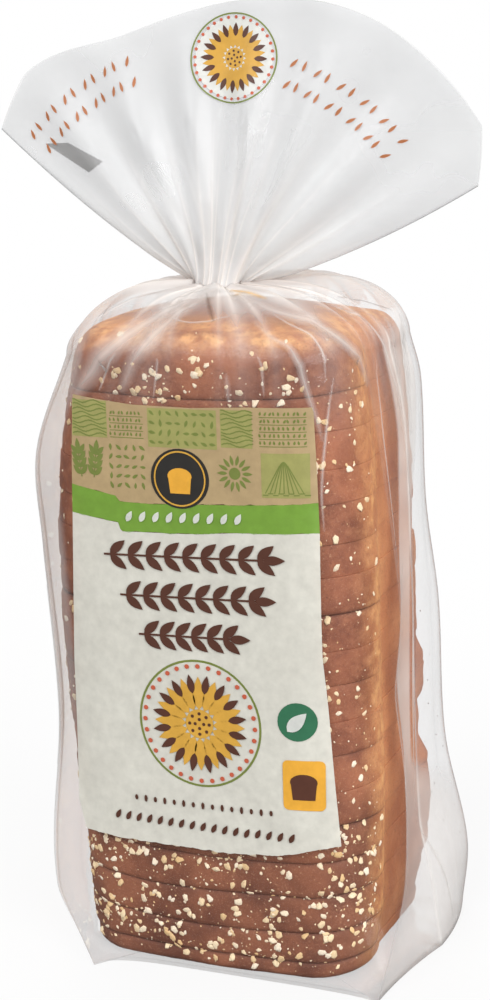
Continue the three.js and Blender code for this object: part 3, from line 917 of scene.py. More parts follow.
def make_film():
    """The film as one open tube with a sealed base, pleated at the neck, and its grid of points."""
    grid, steps, body, turn, rise = film_grid()
    main = ridges(steps, 11, 3)[None, :]
    small = ridges(steps, 23, 8)[None, :]
    shoulder_depth = (0.2 + 1.3 * np.sin(np.pi * turn * 0.8)) * MM * smooth(0.0, 0.3, turn) * (rise <= 0)
    fan_depth = 0.8 * MM * (1 - rise) ** 1.8 * (rise > 0)
    lift = (shoulder_depth + fan_depth) * (main**2 + 0.5 * small**2)
    points = grid + grid_normals(grid) * lift[:, :, None]
    rows, columns = grid.shape[:2]
    faces = []
    for row in range(rows - 1):
        for i in range(columns):
            a, b = row * columns + i, row * columns + (i + 1) % columns
            faces.append((a, b, b + columns, a + columns))
    haze = film_haze(steps, body, turn, rise, main, small)
    milk = np.broadcast_to(film_milk(steps, body, turn, rise, main, small), haze.shape)
    parts = [points.reshape(-1, 3)]
    base_centre = np.array([0, BASE_CENTRE_Y, 0])
    start, count = 0, rows * columns
    for scale in (0.85, 0.55, 0.25):
        parts.append(base_centre + (points[0] - base_centre) * scale)
        for i in range(columns):
            a, b = start + i, start + (i + 1) % columns
            faces.append((b, a, count + i, count + (i + 1) % columns))
        start, count = count, count + columns
    parts.append(base_centre[None, :])
    for i in range(columns):
        faces.append((start + (i + 1) % columns, start + i, count))
    piece = mesh_piece("film_bag", np.vstack(parts), faces, [film_material()])
    base_count = count + 1 - rows * columns
    give_attribute(piece, "haze", np.concatenate([haze.ravel(), np.full(base_count, 0.04)]))
    give_attribute(piece, "milk", np.concatenate([milk.ravel(), np.zeros(base_count)]))
    return piece, points


def film_wrinkles(tree, strength):
    """The normal of film with soft wrinkles, which the ink shares."""
    place = add_node(tree, "ShaderNodeTexCoord").outputs["Object"]
    broad = grain(tree, place, 38.0, 2.0)
    crinkle = grain(tree, place, 150.0, 2.0)
    height = arithmetic(tree, "ADD", broad, arithmetic(tree, "MULTIPLY", crinkle, 0.22))
    bump = add_node(tree, "ShaderNodeBump", {"Height": height, "Strength": strength, "Distance": 0.004})
    return bump.outputs["Normal"]


def film_material():
    """Clear film: nearly all light goes through, with a gloss, and it is milky where it is folded or gathered."""
    material, tree = new_material("clear_film")
    place = add_node(tree, "ShaderNodeTexCoord").outputs["Object"]
    cloud = grain(tree, place, 24.0, 2.0)
    haze = arithmetic(tree, "MULTIPLY", attribute(tree, "haze"), ranged(tree, cloud, 0.3, 0.7, 0.82, 1.18))
    rim = add_node(tree, "ShaderNodeLayerWeight", {"Blend": 0.18}).outputs["Facing"]
    edge = arithmetic(tree, "MULTIPLY", arithmetic(tree, "POWER", rim, 3.0), 0.3)
    alpha = arithmetic(tree, "MINIMUM", arithmetic(tree, "ADD", haze, edge), 0.93)
    bump = film_wrinkles(tree, 0.25)
    colour = mixed_colour(tree, attribute(tree, "milk"), FILM_GREY, FILM_WHITE)
    milky = add_node(tree, "ShaderNodeBsdfPrincipled", {
        "Base Color": colour, "Roughness": 0.4, "Specular IOR Level": 0.5, "Alpha": alpha, "Normal": bump,
    })
    gloss = add_node(tree, "ShaderNodeBsdfGlossy", {"Color": (1, 1, 1, 1), "Roughness": 0.13, "Normal": bump})
    fresnel = add_node(tree, "ShaderNodeFresnel", {"IOR": 1.45, "Normal": bump}).outputs[0]
    shine = arithmetic(tree, "MULTIPLY", fresnel, 0.3)
    film = add_node(tree, "ShaderNodeMixShader", {0: shine, 1: milky.outputs[0], 2: gloss.outputs[0]})
    add_node(tree, "ShaderNodeOutputMaterial", {"Surface": film.outputs[0]})
    return material


# Creases that stay in the film, as milky ribbons whose white is partly the folded film and partly painted highlights:
# half their width in millimetres, how milky they are, and their track over the film.
# A track's points are the step round the bag and the level: 0 to 1 up the body, 2 at the neck, 3 at the fan's mouth.
CREASES_AND_HIGHLIGHTS = (
    (0.5, 0.55, ((16.7, 1.52), (17.2, 1.41), (18.2, 1.29), (18.4, 1.16), (18.5, 1.02), (18.4, 0.97))),
    (0.5, 0.50, ((19.0, 0.98), (18.5, 0.94), (18.2, 0.906), (17.8, 0.852), (17.5, 0.80), (17.4, 0.74))),
    (3.0, 0.55, ((14.5, 1.85), (15.8, 1.705), (16.8, 1.545), (18.7, 1.41), (19.8, 1.27), (20.7, 1.09),
                 (21.4, 0.99), (21.8, 0.95))),
    (1.3, 0.45, ((15.0, 1.45), (15.7, 1.27), (16.5, 1.2), (16.8, 1.045), (17.0, 0.987), (17.3, 0.953),
                 (17.7, 0.913), (17.9, 0.88))),
    (0.8, 0.60, ((19.5, 1.7), (21.7, 1.62), (25.5, 1.43), (27.0, 1.34), (27.7, 1.205), (28.3, 1.09), (29.0, 0.98),
                 (29.4, 0.93), (29.6, 0.87), (30.0, 0.80), (30.2, 0.752))),
    (0.45, 0.65, ((26.5, 0.99), (25.3, 0.96), (24.7, 0.906), (24.3, 0.859), (24.3, 0.80), (24.3, 0.75),
                  (24.2, 0.69), (25.0, 0.638))),
    (2.2, 0.45, ((31.7, 1.27), (30.9, 1.09), (30.5, 0.98), (30.0, 0.945), (29.8, 0.90))),
    (3.4, 0.45, ((35.3, 1.22), (33.4, 1.02), (32.2, 0.946), (31.2, 0.919), (31.0, 0.85))),
    (4.6, 0.60, ((12.4, 1.85), (11.2, 1.66), (9.8, 1.57), (8.4, 1.39), (7.2, 1.16), (6.2, 0.99), (5.5, 0.96),
                 (5.0, 0.93))),
    (3.4, 0.55, ((12.6, 1.8), (11.5, 1.64), (10.2, 1.5), (9.4, 1.295), (8.8, 1.136), (8.3, 0.99), (8.0, 0.95))),
    (0.5, 0.50, ((7.4, 1.08), (7.0, 0.987), (6.8, 0.95))),
    (0.4, 0.40, ((9.6, 1.06), (9.65, 0.98), (9.7, 0.94))),
    (0.35, 0.45, ((8.6, 1.48), (9.5, 1.432), (11.0, 1.386), (12.33, 1.409), (14.83, 1.545), (16.4, 1.65))),
    (0.45, 0.75, ((30.5, 0.725), (30.1, 0.65), (30.1, 0.584), (29.8, 0.5), (29.6, 0.436), (29.3, 0.362),
                  (29.0, 0.29), (28.8, 0.221))),
    (0.6, 0.45, ((27.5, 0.66), (25.0, 0.60), (22.6, 0.544), (21.8, 0.463), (21.8, 0.362), (22.2, 0.262),
                 (23.2, 0.17), (24.2, 0.094))),
    (0.5, 0.50, ((28.8, 0.221), (30.6, 0.165), (32.0, 0.101), (33.2, 0.013))),
    (1.4, 0.30, ((1.4, 0.62), (1.6, 0.55), (1.5, 0.45), (1.8, 0.38), (1.6, 0.30))),
    (0.4, 0.45, ((2.6, 0.80), (2.4, 0.72), (2.5, 0.64), (2.3, 0.56))),
    (1.0, 0.30, ((13.0, 0.99), (13.1, 0.965), (13.2, 0.94))),
    (0.5, 0.35, ((14.6, 1.1), (14.8, 1.0), (14.9, 0.95))),
)
CREASE_RAISE = 0.16 * MM
# Deep folds that look dark, and the print that is gathered into the neck's foot
FOLD_SHADOWS = (
    (0.75, 0.75, ((11.5, 1.72), (11.8, 1.64), (12.0, 1.568), (12.33, 1.432), (12.4, 1.40))),
    (0.45, 0.60, ((28.6, 1.53), (29.33, 1.5), (31.67, 1.455), (32.83, 1.341), (34.0, 1.25))),
    (0.35, 0.45, ((8.0, 1.60), (9.2, 1.66), (10.4, 1.75), (11.6, 1.84))),
    (0.5, 0.40, ((30.6, 0.70), (30.4, 0.60), (30.3, 0.50), (30.0, 0.40))),
)
GATHERED_PRINT = (
    (1.1, 0.75, ((15.2, 1.90), (15.83, 1.886), (16.83, 1.79), (17.33, 1.682), (17.6, 1.64))),
    (0.7, 0.55, ((14.6, 1.82), (15.4, 1.80), (16.0, 1.74))),
)


def tinted_film(name, colour):
    """Film that a fold's shadow or ink darkens, as far as its haze says."""
    material, tree = new_material(name)
    grainy = ranged(tree, grain(tree, add_node(tree, "ShaderNodeTexCoord").outputs["Object"], 700), 0.3, 0.7, 0.7, 1.0)
    shader = add_node(tree, "ShaderNodeBsdfPrincipled", {
        "Base Color": colour, "Roughness": 0.5, "Alpha": arithmetic(tree, "MULTIPLY", attribute(tree, "haze"), grainy),
    })
    add_node(tree, "ShaderNodeOutputMaterial", {"Surface": shader.outputs[0]})
    return material


def film_place(points, normals, step, level):
    """The place and the normal of the film at steps and levels, between the points of its grid."""
    column = (step % TURN_STEPS) * COLUMNS_PER_STEP
    body = np.clip(level, 0, 1) * (BODY_ROWS - 1)
    shoulder = np.clip(level - 1, 0, 1) * SHOULDER_ROWS
    fan = np.clip(level - 2, 0, 1) ** (1 / FAN_ROW_CROWDING) * FAN_ROWS
    row = body + shoulder + fan
    low_row, low_column = np.floor(row).astype(int), np.floor(column).astype(int)
    up, side = (row - low_row)[:, None], (column - low_column)[:, None]
    rows, columns = points.shape[:2]
    found = []
    for grid in (points, normals):
        next_row = np.minimum(low_row + 1, rows - 1)
        next_column = (low_column + 1) % columns
        below = mix(grid[low_row, low_column % columns], grid[low_row, next_column], side)
        above = mix(grid[next_row, low_column % columns], grid[next_row, next_column], side)
        found.append(mix(below, above, up))
    return found


def smooth_track(track, samples):
    """A track's points made into a smooth curve of many points."""
    track = np.array(track, float)
    share = np.linspace(0, len(track) - 1, samples)
    dense = np.column_stack([np.interp(share, np.arange(len(track)), track[:, i]) for i in (0, 1)])
    reach = max(1, samples // len(track) // 2)
    padded = np.vstack([np.repeat(dense[:1], reach, 0), dense, np.repeat(dense[-1:], reach, 0)])
    kernel = np.hanning(2 * reach + 3)[1:-1]
    kernel /= kernel.sum()
    return np.column_stack([np.convolve(padded[:, i], kernel, "valid") for i in (0, 1)])


def make_ribbons(name, film_points, tracks, material):
    """Ribbons along tracks on the film as one piece: their haze fades to nothing at their sides and ends."""
    normals = grid_normals(film_points)
    points, faces, hazes = [], [], []
    for half_width, haze, track in tracks:
        way = smooth_track(track, 18 * len(track))
        middle, normal = film_place(film_points, normals, way[:, 0], way[:, 1])
        tangent = np.gradient(middle, axis=0)
        side = np.cross(normal, tangent)
        side /= np.maximum(np.linalg.norm(side, axis=1, keepdims=True), 1e-9)
        share = np.linspace(0, 1, len(way))
        taper = np.sin(np.pi * np.clip(share * 0.96 + 0.02, 0, 1)) ** 0.6
        width = (half_width * 1.35 + 0.25) * MM * (0.35 + 0.65 * taper)
        start = sum(len(part) for part in points)
        for offset, raised, strength in ((-1, 0.6, 0), (-0.5, 1.0, 0.42), (0, 1.4, 1), (0.5, 1.0, 0.42), (1, 0.6, 0)):
            points.append(middle + side * (offset * width)[:, None] + normal * raised * CREASE_RAISE)
            hazes.append(0.85 * haze * taper * strength)
        count = len(way)
        for lane in range(4):
            for i in range(count - 1):
                a = start + lane * count + i
                faces.append((a, a + 1, a + 1 + count, a + count))
    piece = mesh_piece(name, np.vstack(points), faces, [material])
    give_attribute(piece, "haze", np.concatenate(hazes))
    give_attribute(piece, "milk", np.full(sum(len(part) for part in points), 0.75))
    return piece


# Dark crumbs of crust that cling to the inside of the right gusset, at a step and a level, and how long each is.
CRUMBS = (
    (30.5, 0.624, 0.5), (31.7, 0.557, 0.9), (33.0, 0.430, 0.8), (33.0, 0.389, 0.8), (35.6, 0.349, 0.5),
    (34.8, 0.322, 0.6),
    (36.6, 0.289, 0.6), (33.2, 0.248, 1.1), (32.5, 0.238, 0.7), (36.5, 0.188, 0.6), (33.7, 0.181, 0.9),
    (36.3, 0.141, 0.8),
    (29.3, 0.081, 0.9), (30.8, 0.012, 0.8), (34.1, 0.27, 0.4), (31.9, 0.33, 0.4), (35.2, 0.22, 0.4), (33.6, 0.47, 0.4),
)


def crumb_speck_material():
    """Burnt crumbs of crust."""
    material, tree = new_material("dark_crumb")
    shader = add_node(tree, "ShaderNodeBsdfPrincipled", {
        "Base Color": (0.16, 0.06, 0.03, 1), "Roughness": 0.8, "Specular IOR Level": 0.2,
    })
    add_node(tree, "ShaderNodeOutputMaterial", {"Surface": shader.outputs[0]})
    return material


def make_crumbs(film_points):
    """The crumbs as one piece of small uneven lumps."""
    normals = grid_normals(film_points)
    random = np.random.default_rng(31)
    points, faces = [], []
    for step, level, length in CRUMBS:
        (middle,), (normal,) = film_place(film_points, normals, np.array([step]), np.array([level]))
        across = np.cross(normal, (0, 0, 1))
        across /= np.linalg.norm(across)
        upward = np.cross(across, normal)
        start = len(points)
        turn = random.uniform(0, 3)
        for i in range(6):
            reach = length * MM / 2 * random.uniform(0.5, 1.0)
            spot = np.cos(turn + i * np.pi / 3) * across + np.sin(turn + i * np.pi / 3) * upward
            points.append(middle + spot * reach - normal * 0.25 * MM)
        points.append(middle)
        points.append(middle - normal * 0.5 * MM)
        for i in range(6):
            a, b = start + i, start + (i + 1) % 6
            faces.append((a, b, start + 6))
            faces.append((b, a, start + 7))
    return mesh_piece("crumbs_on_film", points, faces, [crumb_speck_material()])


film, film_points = make_film()
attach(film, "root")
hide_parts("bag")
ribbons = (
    # The creases' white ribbons are partly painted highlights
    ("film_creases", CREASES_AND_HIGHLIGHTS, bpy.data.materials["clear_film"]),
    ("fold_shadows", FOLD_SHADOWS, tinted_film("fold_shadow", (0.15, 0.09, 0.065, 1))),
    ("gathered_print", GATHERED_PRINT, tinted_film("gathered_ink", (0.78, 0.46, 0.12, 1))),
)
for ribbon_name, tracks, ribbon_material in ribbons:
    ribbon = make_ribbons(ribbon_name, film_points, tracks, ribbon_material)
    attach(ribbon, "root")
    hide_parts("bag")
crumbs = make_crumbs(film_points)
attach(crumbs, "root")
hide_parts("bag")

# The print: thin fields of flexographic ink on the outside of the front film, which bend and fold with it.
# A tan and olive band runs across the top, a green stripe under it, and a cream field carries plain ornaments.
LABEL_LEFT = ((49, -47.7), (62, -51.2), (118, -50.3), (175, -47), (221, -45.1))
LABEL_RIGHT = ((47, 55), (56, 54.7), (92, 51.9), (126, 49.6), (172, 49.3), (221, 47.6))
LABEL_TOP = ((-47, 219.3), (-20, 216.6), (3, 216.2), (25, 217.2), (48, 217.2))
BAND_BOTTOM = ((-47, 186), (-28, 182.6), (-27, 180.6), (-14, 180.3), (20, 181.8), (50, 183.2))
STRIPE_BOTTOM = ((-48, 175.3), (-27.8, 172.6), (-26.6, 169.4), (0, 170), (20, 171.6), (50, 172.4))
LABEL_BOTTOM = ((-48, 50.8), (-30, 49.4), (-5, 49.2), (12, 48.9), (31, 50.4), (55, 55.6))
INK_LIFT = 0.25 * MM
INK_STEP = 0.05 * MM
INK_RING = 2.2
RAGGED_EDGE = 0.45


def film_front(x, z):
    """The y of the front film at x and z, all in millimetres, with x and z as arrays."""
    depth = []
    for across_x, height in zip(x, z):
        left, right = fold_at(FRONT_LEFT_FOLD, height * MM), fold_at(FRONT_RIGHT_FOLD, height * MM)
        across = np.clip(2 * (across_x * MM - left[0]) / (right[0] - left[0]) - 1, -0.999, 0.999)
        depth.append(front_panel(left, right, np.array([across]))[0, 1] / MM)
    return np.array(depth)


def on_film(flat, lift):
    """Points in space, in metres, for flat points (x, z) in millimetres, lifted off the film by some metres."""
    flat = np.asarray(flat, float)
    y = film_front(flat[:, 0], flat[:, 1]) * MM - lift
    return np.column_stack([flat[:, 0] * MM, y, flat[:, 1] * MM])


def along_edge(stations, value):
    """The other coordinate of a printed edge, straight between its stations."""
    first, second = zip(*stations)
    return np.interp(value, first, second)


def ink_material(name, colour, opacity=1.0, mottle=0.06, let_through=0.3):
    """Flexographic ink on film: a flat colour with a little mottle, and the gloss of the film."""
    material, tree = new_material(name)
    place = add_node(tree, "ShaderNodeTexCoord").outputs["Object"]
    cloud = grain(tree, place, 260, 4.0, 0.6)
    dark = tuple(channel * (1 - 2.2 * mottle) for channel in colour[:3]) + (1,)
    shown = mixed_colour(tree, ranged(tree, cloud, 0.3, 0.7), dark, tuple(colour) + (1,))
    shader = add_node(tree, "ShaderNodeBsdfPrincipled", {
        "Base Color": shown, "Roughness": 0.38, "Specular IOR Level": 0.4, "Normal": film_wrinkles(tree, 0.2),
    })
    if opacity < 1:
        worn = ranged(tree, grain(tree, place, 90, 3.0), 0.3, 0.7, opacity - 0.04, opacity + 0.03)
        tree.links.new(worn, shader.inputs["Alpha"])
    elif name == "ink_white":
        from_behind = add_node(tree, "ShaderNodeBsdfTranslucent", {"Color": shown})
        shader = add_node(tree, "ShaderNodeMixShader", {
            0: let_through, 1: shader.outputs[0], 2: from_behind.outputs[0],
        })
    add_node(tree, "ShaderNodeOutputMaterial", {"Surface": shader.outputs[0]})
    return material


def printed_field(name, top, bottom, rows, lift, material, seed):
    """A field of ink between two printed edges, as a grid that follows the film."""
    columns = 110
    random = np.random.default_rng(seed)
    tatter = np.convolve(random.uniform(-1, 1, columns + 4), np.ones(3) / 3, "same")[2:-2] * RAGGED_EDGE
    grid = []
    for row in range(rows + 1):
        share = row / rows
        middle = mix(along_edge(bottom, 0), along_edge(top, 0), share)
        across = np.linspace(along_edge(LABEL_LEFT, middle), along_edge(LABEL_RIGHT, middle), columns)
        low = along_edge(bottom, across) + tatter * (seed > 0)
        height = mix(low, along_edge(top, across), share)
        edges = np.linspace(0, 1, columns)
        x = mix(along_edge(LABEL_LEFT, height), along_edge(LABEL_RIGHT, height), edges)
        grid.append(np.column_stack([x, height]))
    points = on_film(np.vstack(grid), lift)
    faces = []
    for row in range(rows):
        for i in range(columns - 1):
            a = row * columns + i
            faces.append((a, a + 1, a + 1 + columns, a + columns))
    return mesh_piece(name, points, faces, [material])


def fine_rim(shape):
    """The shape's rim with points added where two lie far apart."""
    rim = []
    for first, second in zip(shape, np.roll(shape, -1, axis=0)):
        count = max(1, math.ceil(np.hypot(*(second - first)) / INK_RING))
        rim.extend(first + (second - first) * step / count for step in range(count))
    return np.array(rim)


def inked(name, shapes, lift, material, place=None):
    """Flat shapes of one ink, each in rings round its middle that are narrow enough to follow the film."""
    points, faces = [], []
    for shape in shapes:
        shape = fine_rim(np.asarray(shape, float))
        middle = shape.mean(axis=0)
        count = len(shape)
        rings = max(1, math.ceil(np.abs(shape[:, 0] - middle[0]).max() / INK_RING))
        start = len(points)
        points.append(middle)
        for ring in range(1, rings + 1):
            points.extend(middle + (shape - middle) * ring / rings)
        for i in range(count):
            j = (i + 1) % count
            faces.append((start, start + 1 + i, start + 1 + j))
            for ring in range(1, rings):
                low, high = start + 1 + (ring - 1) * count, start + 1 + ring * count
                faces.append((low + i, high + i, high + j, low + j))
    return mesh_piece(name, (place or on_film)(np.array(points), lift), faces, [material])


def moved(shape, x, z, angle=0.0, scale=1.0):
    """A shape turned by some degrees anticlockwise, scaled and moved to (x, z)."""
    turn = math.radians(angle)
    spin = np.array([[math.cos(turn), math.sin(turn)], [-math.sin(turn), math.cos(turn)]])
    return np.asarray(shape, float) @ spin * scale + (x, z)


def leaf(length, width, points=9):
    """A pointed leaf that starts at (0, 0) and points along x."""
    share = np.linspace(0, 1, points)
    half = width / 2 * np.sin(np.pi * share**0.8) ** 0.9
    upper = np.column_stack([share * length, half])
    return np.vstack([upper, (upper * (1, -1))[-2:0:-1]])[::-1]


def oval(width, height, points=20):
    """An oval about (0, 0)."""
    turn = np.arange(points) * 2 * np.pi / points
    return np.column_stack([np.cos(turn) * width / 2, np.sin(turn) * height / 2])


def bar(length, height):
    """A bar that starts at (0, 0) and runs along x."""
    return np.array([(0, -height / 2), (length, -height / 2), (length, height / 2), (0, height / 2)])


def rounded_bar(width, height, radius):
    """A rectangle with round corners about (0, 0)."""
    shape = []
    for corner in range(4):
        turn = np.radians(np.linspace(0, 90, 5) + corner * 90)
        centre = np.array([(1, 1), (-1, 1), (-1, -1), (1, -1)][corner]) * (width / 2 - radius, height / 2 - radius)
        shape.extend(centre + radius * np.column_stack([np.cos(turn), np.sin(turn)]))
    return np.array(shape)


def arc_pieces(inner, outer, start, end, steps):
    """A stretch of a ring about (0, 0), in steps small enough to lie flat."""
    turns = np.radians(np.linspace(start, end, steps + 1))
    pieces = []
    for first, second in zip(turns[:-1], turns[1:]):
        pieces.append([
            (inner * math.cos(first), inner * math.sin(first)), (outer * math.cos(first), outer * math.sin(first)),
            (outer * math.cos(second), outer * math.sin(second)), (inner * math.cos(second), inner * math.sin(second)),
        ])
    return pieces


def loaf_slice_shape(width):
    """The outline of a slice of tin loaf, with a domed top, about (0, 0)."""
    half = width / 2
    dome = np.radians(np.linspace(-20, 200, 15))
    top = np.column_stack([np.cos(dome) * half, 0.35 * half + np.sin(dome) * half * 0.62])
    return np.vstack([[(0.82 * half, -half)], top, [(-0.82 * half, -half)]])


def sprig(length, leaf_length, leaf_width, pairs):
    """A stem along x with pairs of leaves that lean forward, from (0, 0)."""
    shapes = [bar(length, leaf_width * 0.22)]
    for i in range(pairs):
        start = length * (i + 0.35) / pairs
        for side in (-1, 1):
            shapes.append(moved(leaf(leaf_length, leaf_width), start, side * leaf_width * 0.12, side * 38))
    shapes.append(moved(leaf(leaf_length, leaf_width), length * 0.96, 0, 0))
    return shapes


def placed(shapes, x, z, angle=0.0, scale=1.0):
    """Several shapes moved together."""
    return [moved(shape, x, z, angle, scale) for shape in shapes]


def dotted_ring(reach, size, count, corners):
    """Round dots in a ring about (0, 0)."""
    turns = [2 * np.pi * i / count for i in range(count)]
    return [moved(oval(size, size, corners), reach * math.cos(turn), reach * math.sin(turn)) for turn in turns]


def rosette(radius):
    """A sunflower of many petals in a ring of dots, as shapes for each ink, about (0, 0)."""
    petals, seeds, dots, rays = [], [], [], []
    for i in range(16):
        petal = leaf(radius * 0.52, radius * 0.19)
        petals.append(moved(moved(petal, radius * 0.22, 0), 0, 0, i * 22.5))
        rays.append(moved(moved(leaf(radius * 0.30, radius * 0.12), radius * 0.48, 0), 0, 0, i * 22.5 + 11.25))
    for ring, count in ((0.16, 8), (0.07, 4)):
        seeds += dotted_ring(ring * radius, radius * 0.055, count, 8)
    dots += dotted_ring(0.90 * radius, radius * 0.075, 32, 10)
    return {"gold": petals + [oval(radius * 0.46, radius * 0.46)], "brown": rays + seeds, "rust": dots,
            "olive": arc_pieces(radius * 0.965, radius, 0, 360, 60)}


INKS = {
    "cream": (0.66, 0.645, 0.575), "tan": (0.42, 0.305, 0.16), "olive": (0.165, 0.20, 0.045),
    "green": (0.165, 0.31, 0.04),
    "brown": (0.085, 0.030, 0.018), "gold": (0.60, 0.33, 0.05), "rust": (0.50, 0.10, 0.05),
    "charcoal": (0.022, 0.020, 0.018), "amber": (0.72, 0.36, 0.04), "white": (0.80, 0.80, 0.76),
    "meadow": (0.31, 0.30, 0.10), "pine": (0.03, 0.14, 0.07), "sienna": (0.42, 0.15, 0.06), "slate": (0.22, 0.21, 0.20),
}
ink_shapes = {name: [] for name in INKS}


def add_ink(ink, shapes):
    """Keeps shapes for an ink, to be printed together."""
    ink_shapes[ink].extend(shapes)


# Title ornament: three rows of brown sprigs
for row_x, row_z, row_length, row_pairs in ((-34, 160.5, 66, 9), (-28, 145.5, 56, 8), (-21, 131, 38, 6)):
    add_ink("brown", placed(sprig(row_length, 8.2, 3.5, row_pairs), row_x, row_z, 1.5))
# The sunflower, its corner leaves and the small badges
for ink, shapes in rosette(24.5).items():
    add_ink(ink, placed(shapes, 2.2, 98.5))
add_ink("pine", [moved(oval(14.5, 14.5, 28), 40.2, 102.5)])
add_ink("white", placed([leaf(10, 5)], 36.6, 98.9, 45))
add_ink("amber", [moved(rounded_bar(15.5, 19, 2), 42.2, 78.5)])
add_ink("brown", [moved(loaf_slice_shape(10), 42.2, 78)])
for i in range(15):
    add_ink("brown", [moved(oval(1.3, 2.2 + 0.6 * (i % 2), 10), -25 + i * 3.9, 66.6 + 0.02 * (i - 7) ** 2 * 0.3)])
for i in range(17):
    add_ink("brown", placed([leaf(4.2, 1.9)], -34 + i * 4.4, 57.4 - 0.004 * (i * 4.4) * 6 + (i > 12) * 0.4, 62))
# The stripe's row of pale seeds, and the dark medallion
for i in range(9):
    add_ink("white", placed([leaf(4.6, 2.3)], -24 + i * 5.4, 173.4 + 0.28 * i * 0.6, 60))
add_ink("charcoal", [moved(oval(23, 22, 36), -2, 190.3)])
add_ink("gold", placed(arc_pieces(9.6, 10.2, 0, 360, 48), -2, 190.3, 0, 1))
add_ink("amber", [moved(loaf_slice_shape(9.5), -2, 189.6)])

# The band's blocks: x and z of the lower left corner, width and height, ground and pattern
BAND_BLOCKS = (
    (-45.5, 204, 15, 13.5, "meadow", "waves"), (-14, 201.5, 27, 14.2, "meadow", "leaves"),
    (14.5, 202.5, 12, 13.5, "meadow", "waves"),
    (-45.8, 188, 13, 14, "", "branch"), (-31, 185, 16, 17.5, "", "leaves"), (-30, 204, 15, 12, "", "rows"),
    (11, 186, 17, 14.5, "", "sun"), (28.5, 203, 18, 13, "", "rows"), (29.5, 185, 17, 16, "meadow", "furrows"),
)


def block_pattern(kind, x, z, width, height, random):
    """The olive line work of one block of the band."""
    shapes = []
    if kind == "waves":
        for i in range(int(height / 1.5)):
            level = z + 1 + i * 1.5
            for j in range(int(width / 1.2)):
                rise = 0.5 * math.sin(j * 0.8 + i)
                shapes.append(moved(bar(1.35, 0.42), x + 0.3 + j * 1.2, level + rise, 24 * math.cos(j * 0.8 + i)))
    if kind == "rows":
        for i in range(int(height / 2.6)):
            level = z + 1.5 + i * 2.6
            shapes.append(moved(bar(width - 1.5, 0.28), x + 0.7, level - 1.1))
            for j in range(int(width / 1.7)):
                shapes.append(placed([leaf(1.5, 0.8)], x + 1 + j * 1.7, level - 0.5, random.uniform(55, 110))[0])
    if kind == "leaves":
        columns, rows = int(width / 3.1), int(height / 3.1)
        for i in range(columns * rows):
            spot = (x + width * (i % columns + 0.5) / columns, z + height * (i // columns + 0.5) / rows)
            angle = random.uniform(0, 360)
            size = random.uniform(2.3, 3.0)
            shapes.append(moved(moved(leaf(size, size * 0.42), -size / 2, 0), *spot, angle))
    if kind == "sun":
        middle = (x + width / 2, z + height / 2)
        shapes.append(moved(oval(height * 0.3, height * 0.3), *middle))
        for i in range(14):
            turn = i * 360 / 14
            shapes.append(moved(moved(leaf(height * 0.27, height * 0.09), height * 0.2, 0), *middle, turn))
    if kind == "furrows":
        for i in range(9):
            shapes += placed([bar(width * 0.115, 0.4)] , x + 0.5 + i * width * 0.108, z + 1 + 0.6 * (i % 2), 0)
            shapes += placed([bar(height * 0.72, 0.36)], x + width * (i + 0.8) / 10, z + 1.6, 90 + (i - 4) * 7)
    if kind == "branch":
        for side in (0, 1):
            foot_x = x + width * (0.3 + 0.4 * side)
            shapes += placed(sprig(height * 0.72, 4.6, 2.0, 4), foot_x, z + 1, 90 + 14 * (0.5 - side))
    return shapes


block_random = np.random.default_rng(4)
for block_x, block_z, block_width, block_height, ground, kind in BAND_BLOCKS:
    if ground:
        steps_x = np.linspace(0, block_width, 8)
        add_ink(ground, [moved(bar(b - a, block_height), block_x + a, block_z + block_height / 2)
                         for a, b in zip(steps_x[:-1], steps_x[1:])])
    add_ink("olive", block_pattern(kind, block_x, block_z, block_width, block_height, block_random))

fields = (
    ("print_cream", STRIPE_BOTTOM, LABEL_BOTTOM, 70, "cream", 0.91, 1),
    ("print_stripe", BAND_BOTTOM, STRIPE_BOTTOM, 8, "green", 0.97, 2),
    ("print_band", LABEL_TOP, BAND_BOTTOM, 22, "tan", 0.97, 3),
)
for field_name, field_top, field_bottom, field_rows, ink, opacity, field_seed in fields:
    material = ink_material(f"ink_{ink}", INKS[ink], opacity)
    field = printed_field(field_name, field_top, field_bottom, field_rows, INK_LIFT, material, field_seed)
    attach(field, "root")
    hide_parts("bag")
ink_layers = ("meadow", "olive", "charcoal", "pine", "amber", "gold", "rust", "brown", "white")
ink_material("ink_sienna", INKS["sienna"])
for layer, ink in enumerate(ink_layers):
    shapes = ink_shapes[ink]
    work = inked(f"print_{ink}", shapes, INK_LIFT + (layer + 1) * INK_STEP, ink_material(f"ink_{ink}", INKS[ink]))
    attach(work, "root")
    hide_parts("bag")



def on_fan(flat, lift, is_front=True):
    """Points in space for flat points (x, z) in millimetres on the fan's front or back sheet."""
    flat = np.asarray(flat, float) * MM
    side = (flat[:, 0] - NECK_X) / math.cos(FAN_YAW)
    up = flat[:, 1] - FAN_CENTRE_Z
    turned = np.degrees(np.arctan2(side, up))
    reach = np.hypot(side, up)
    rise = np.full(len(flat), 0.8)
    for _ in range(8):
        angle = turned / (1 + FAN_EDGE_DROOP * (1 - rise))
        rise = np.clip((reach / fan_reach(angle) - FAN_START) / (1 - FAN_START), 0, 1)
    across = (angle - FAN_LEFT_ANGLE) / (FAN_RIGHT_ANGLE - FAN_LEFT_ANGLE)
    found = fan_points(across, np.full(len(flat), is_front), rise)
    return found + np.array([math.sin(FAN_YAW), -math.cos(FAN_YAW), 0]) * lift


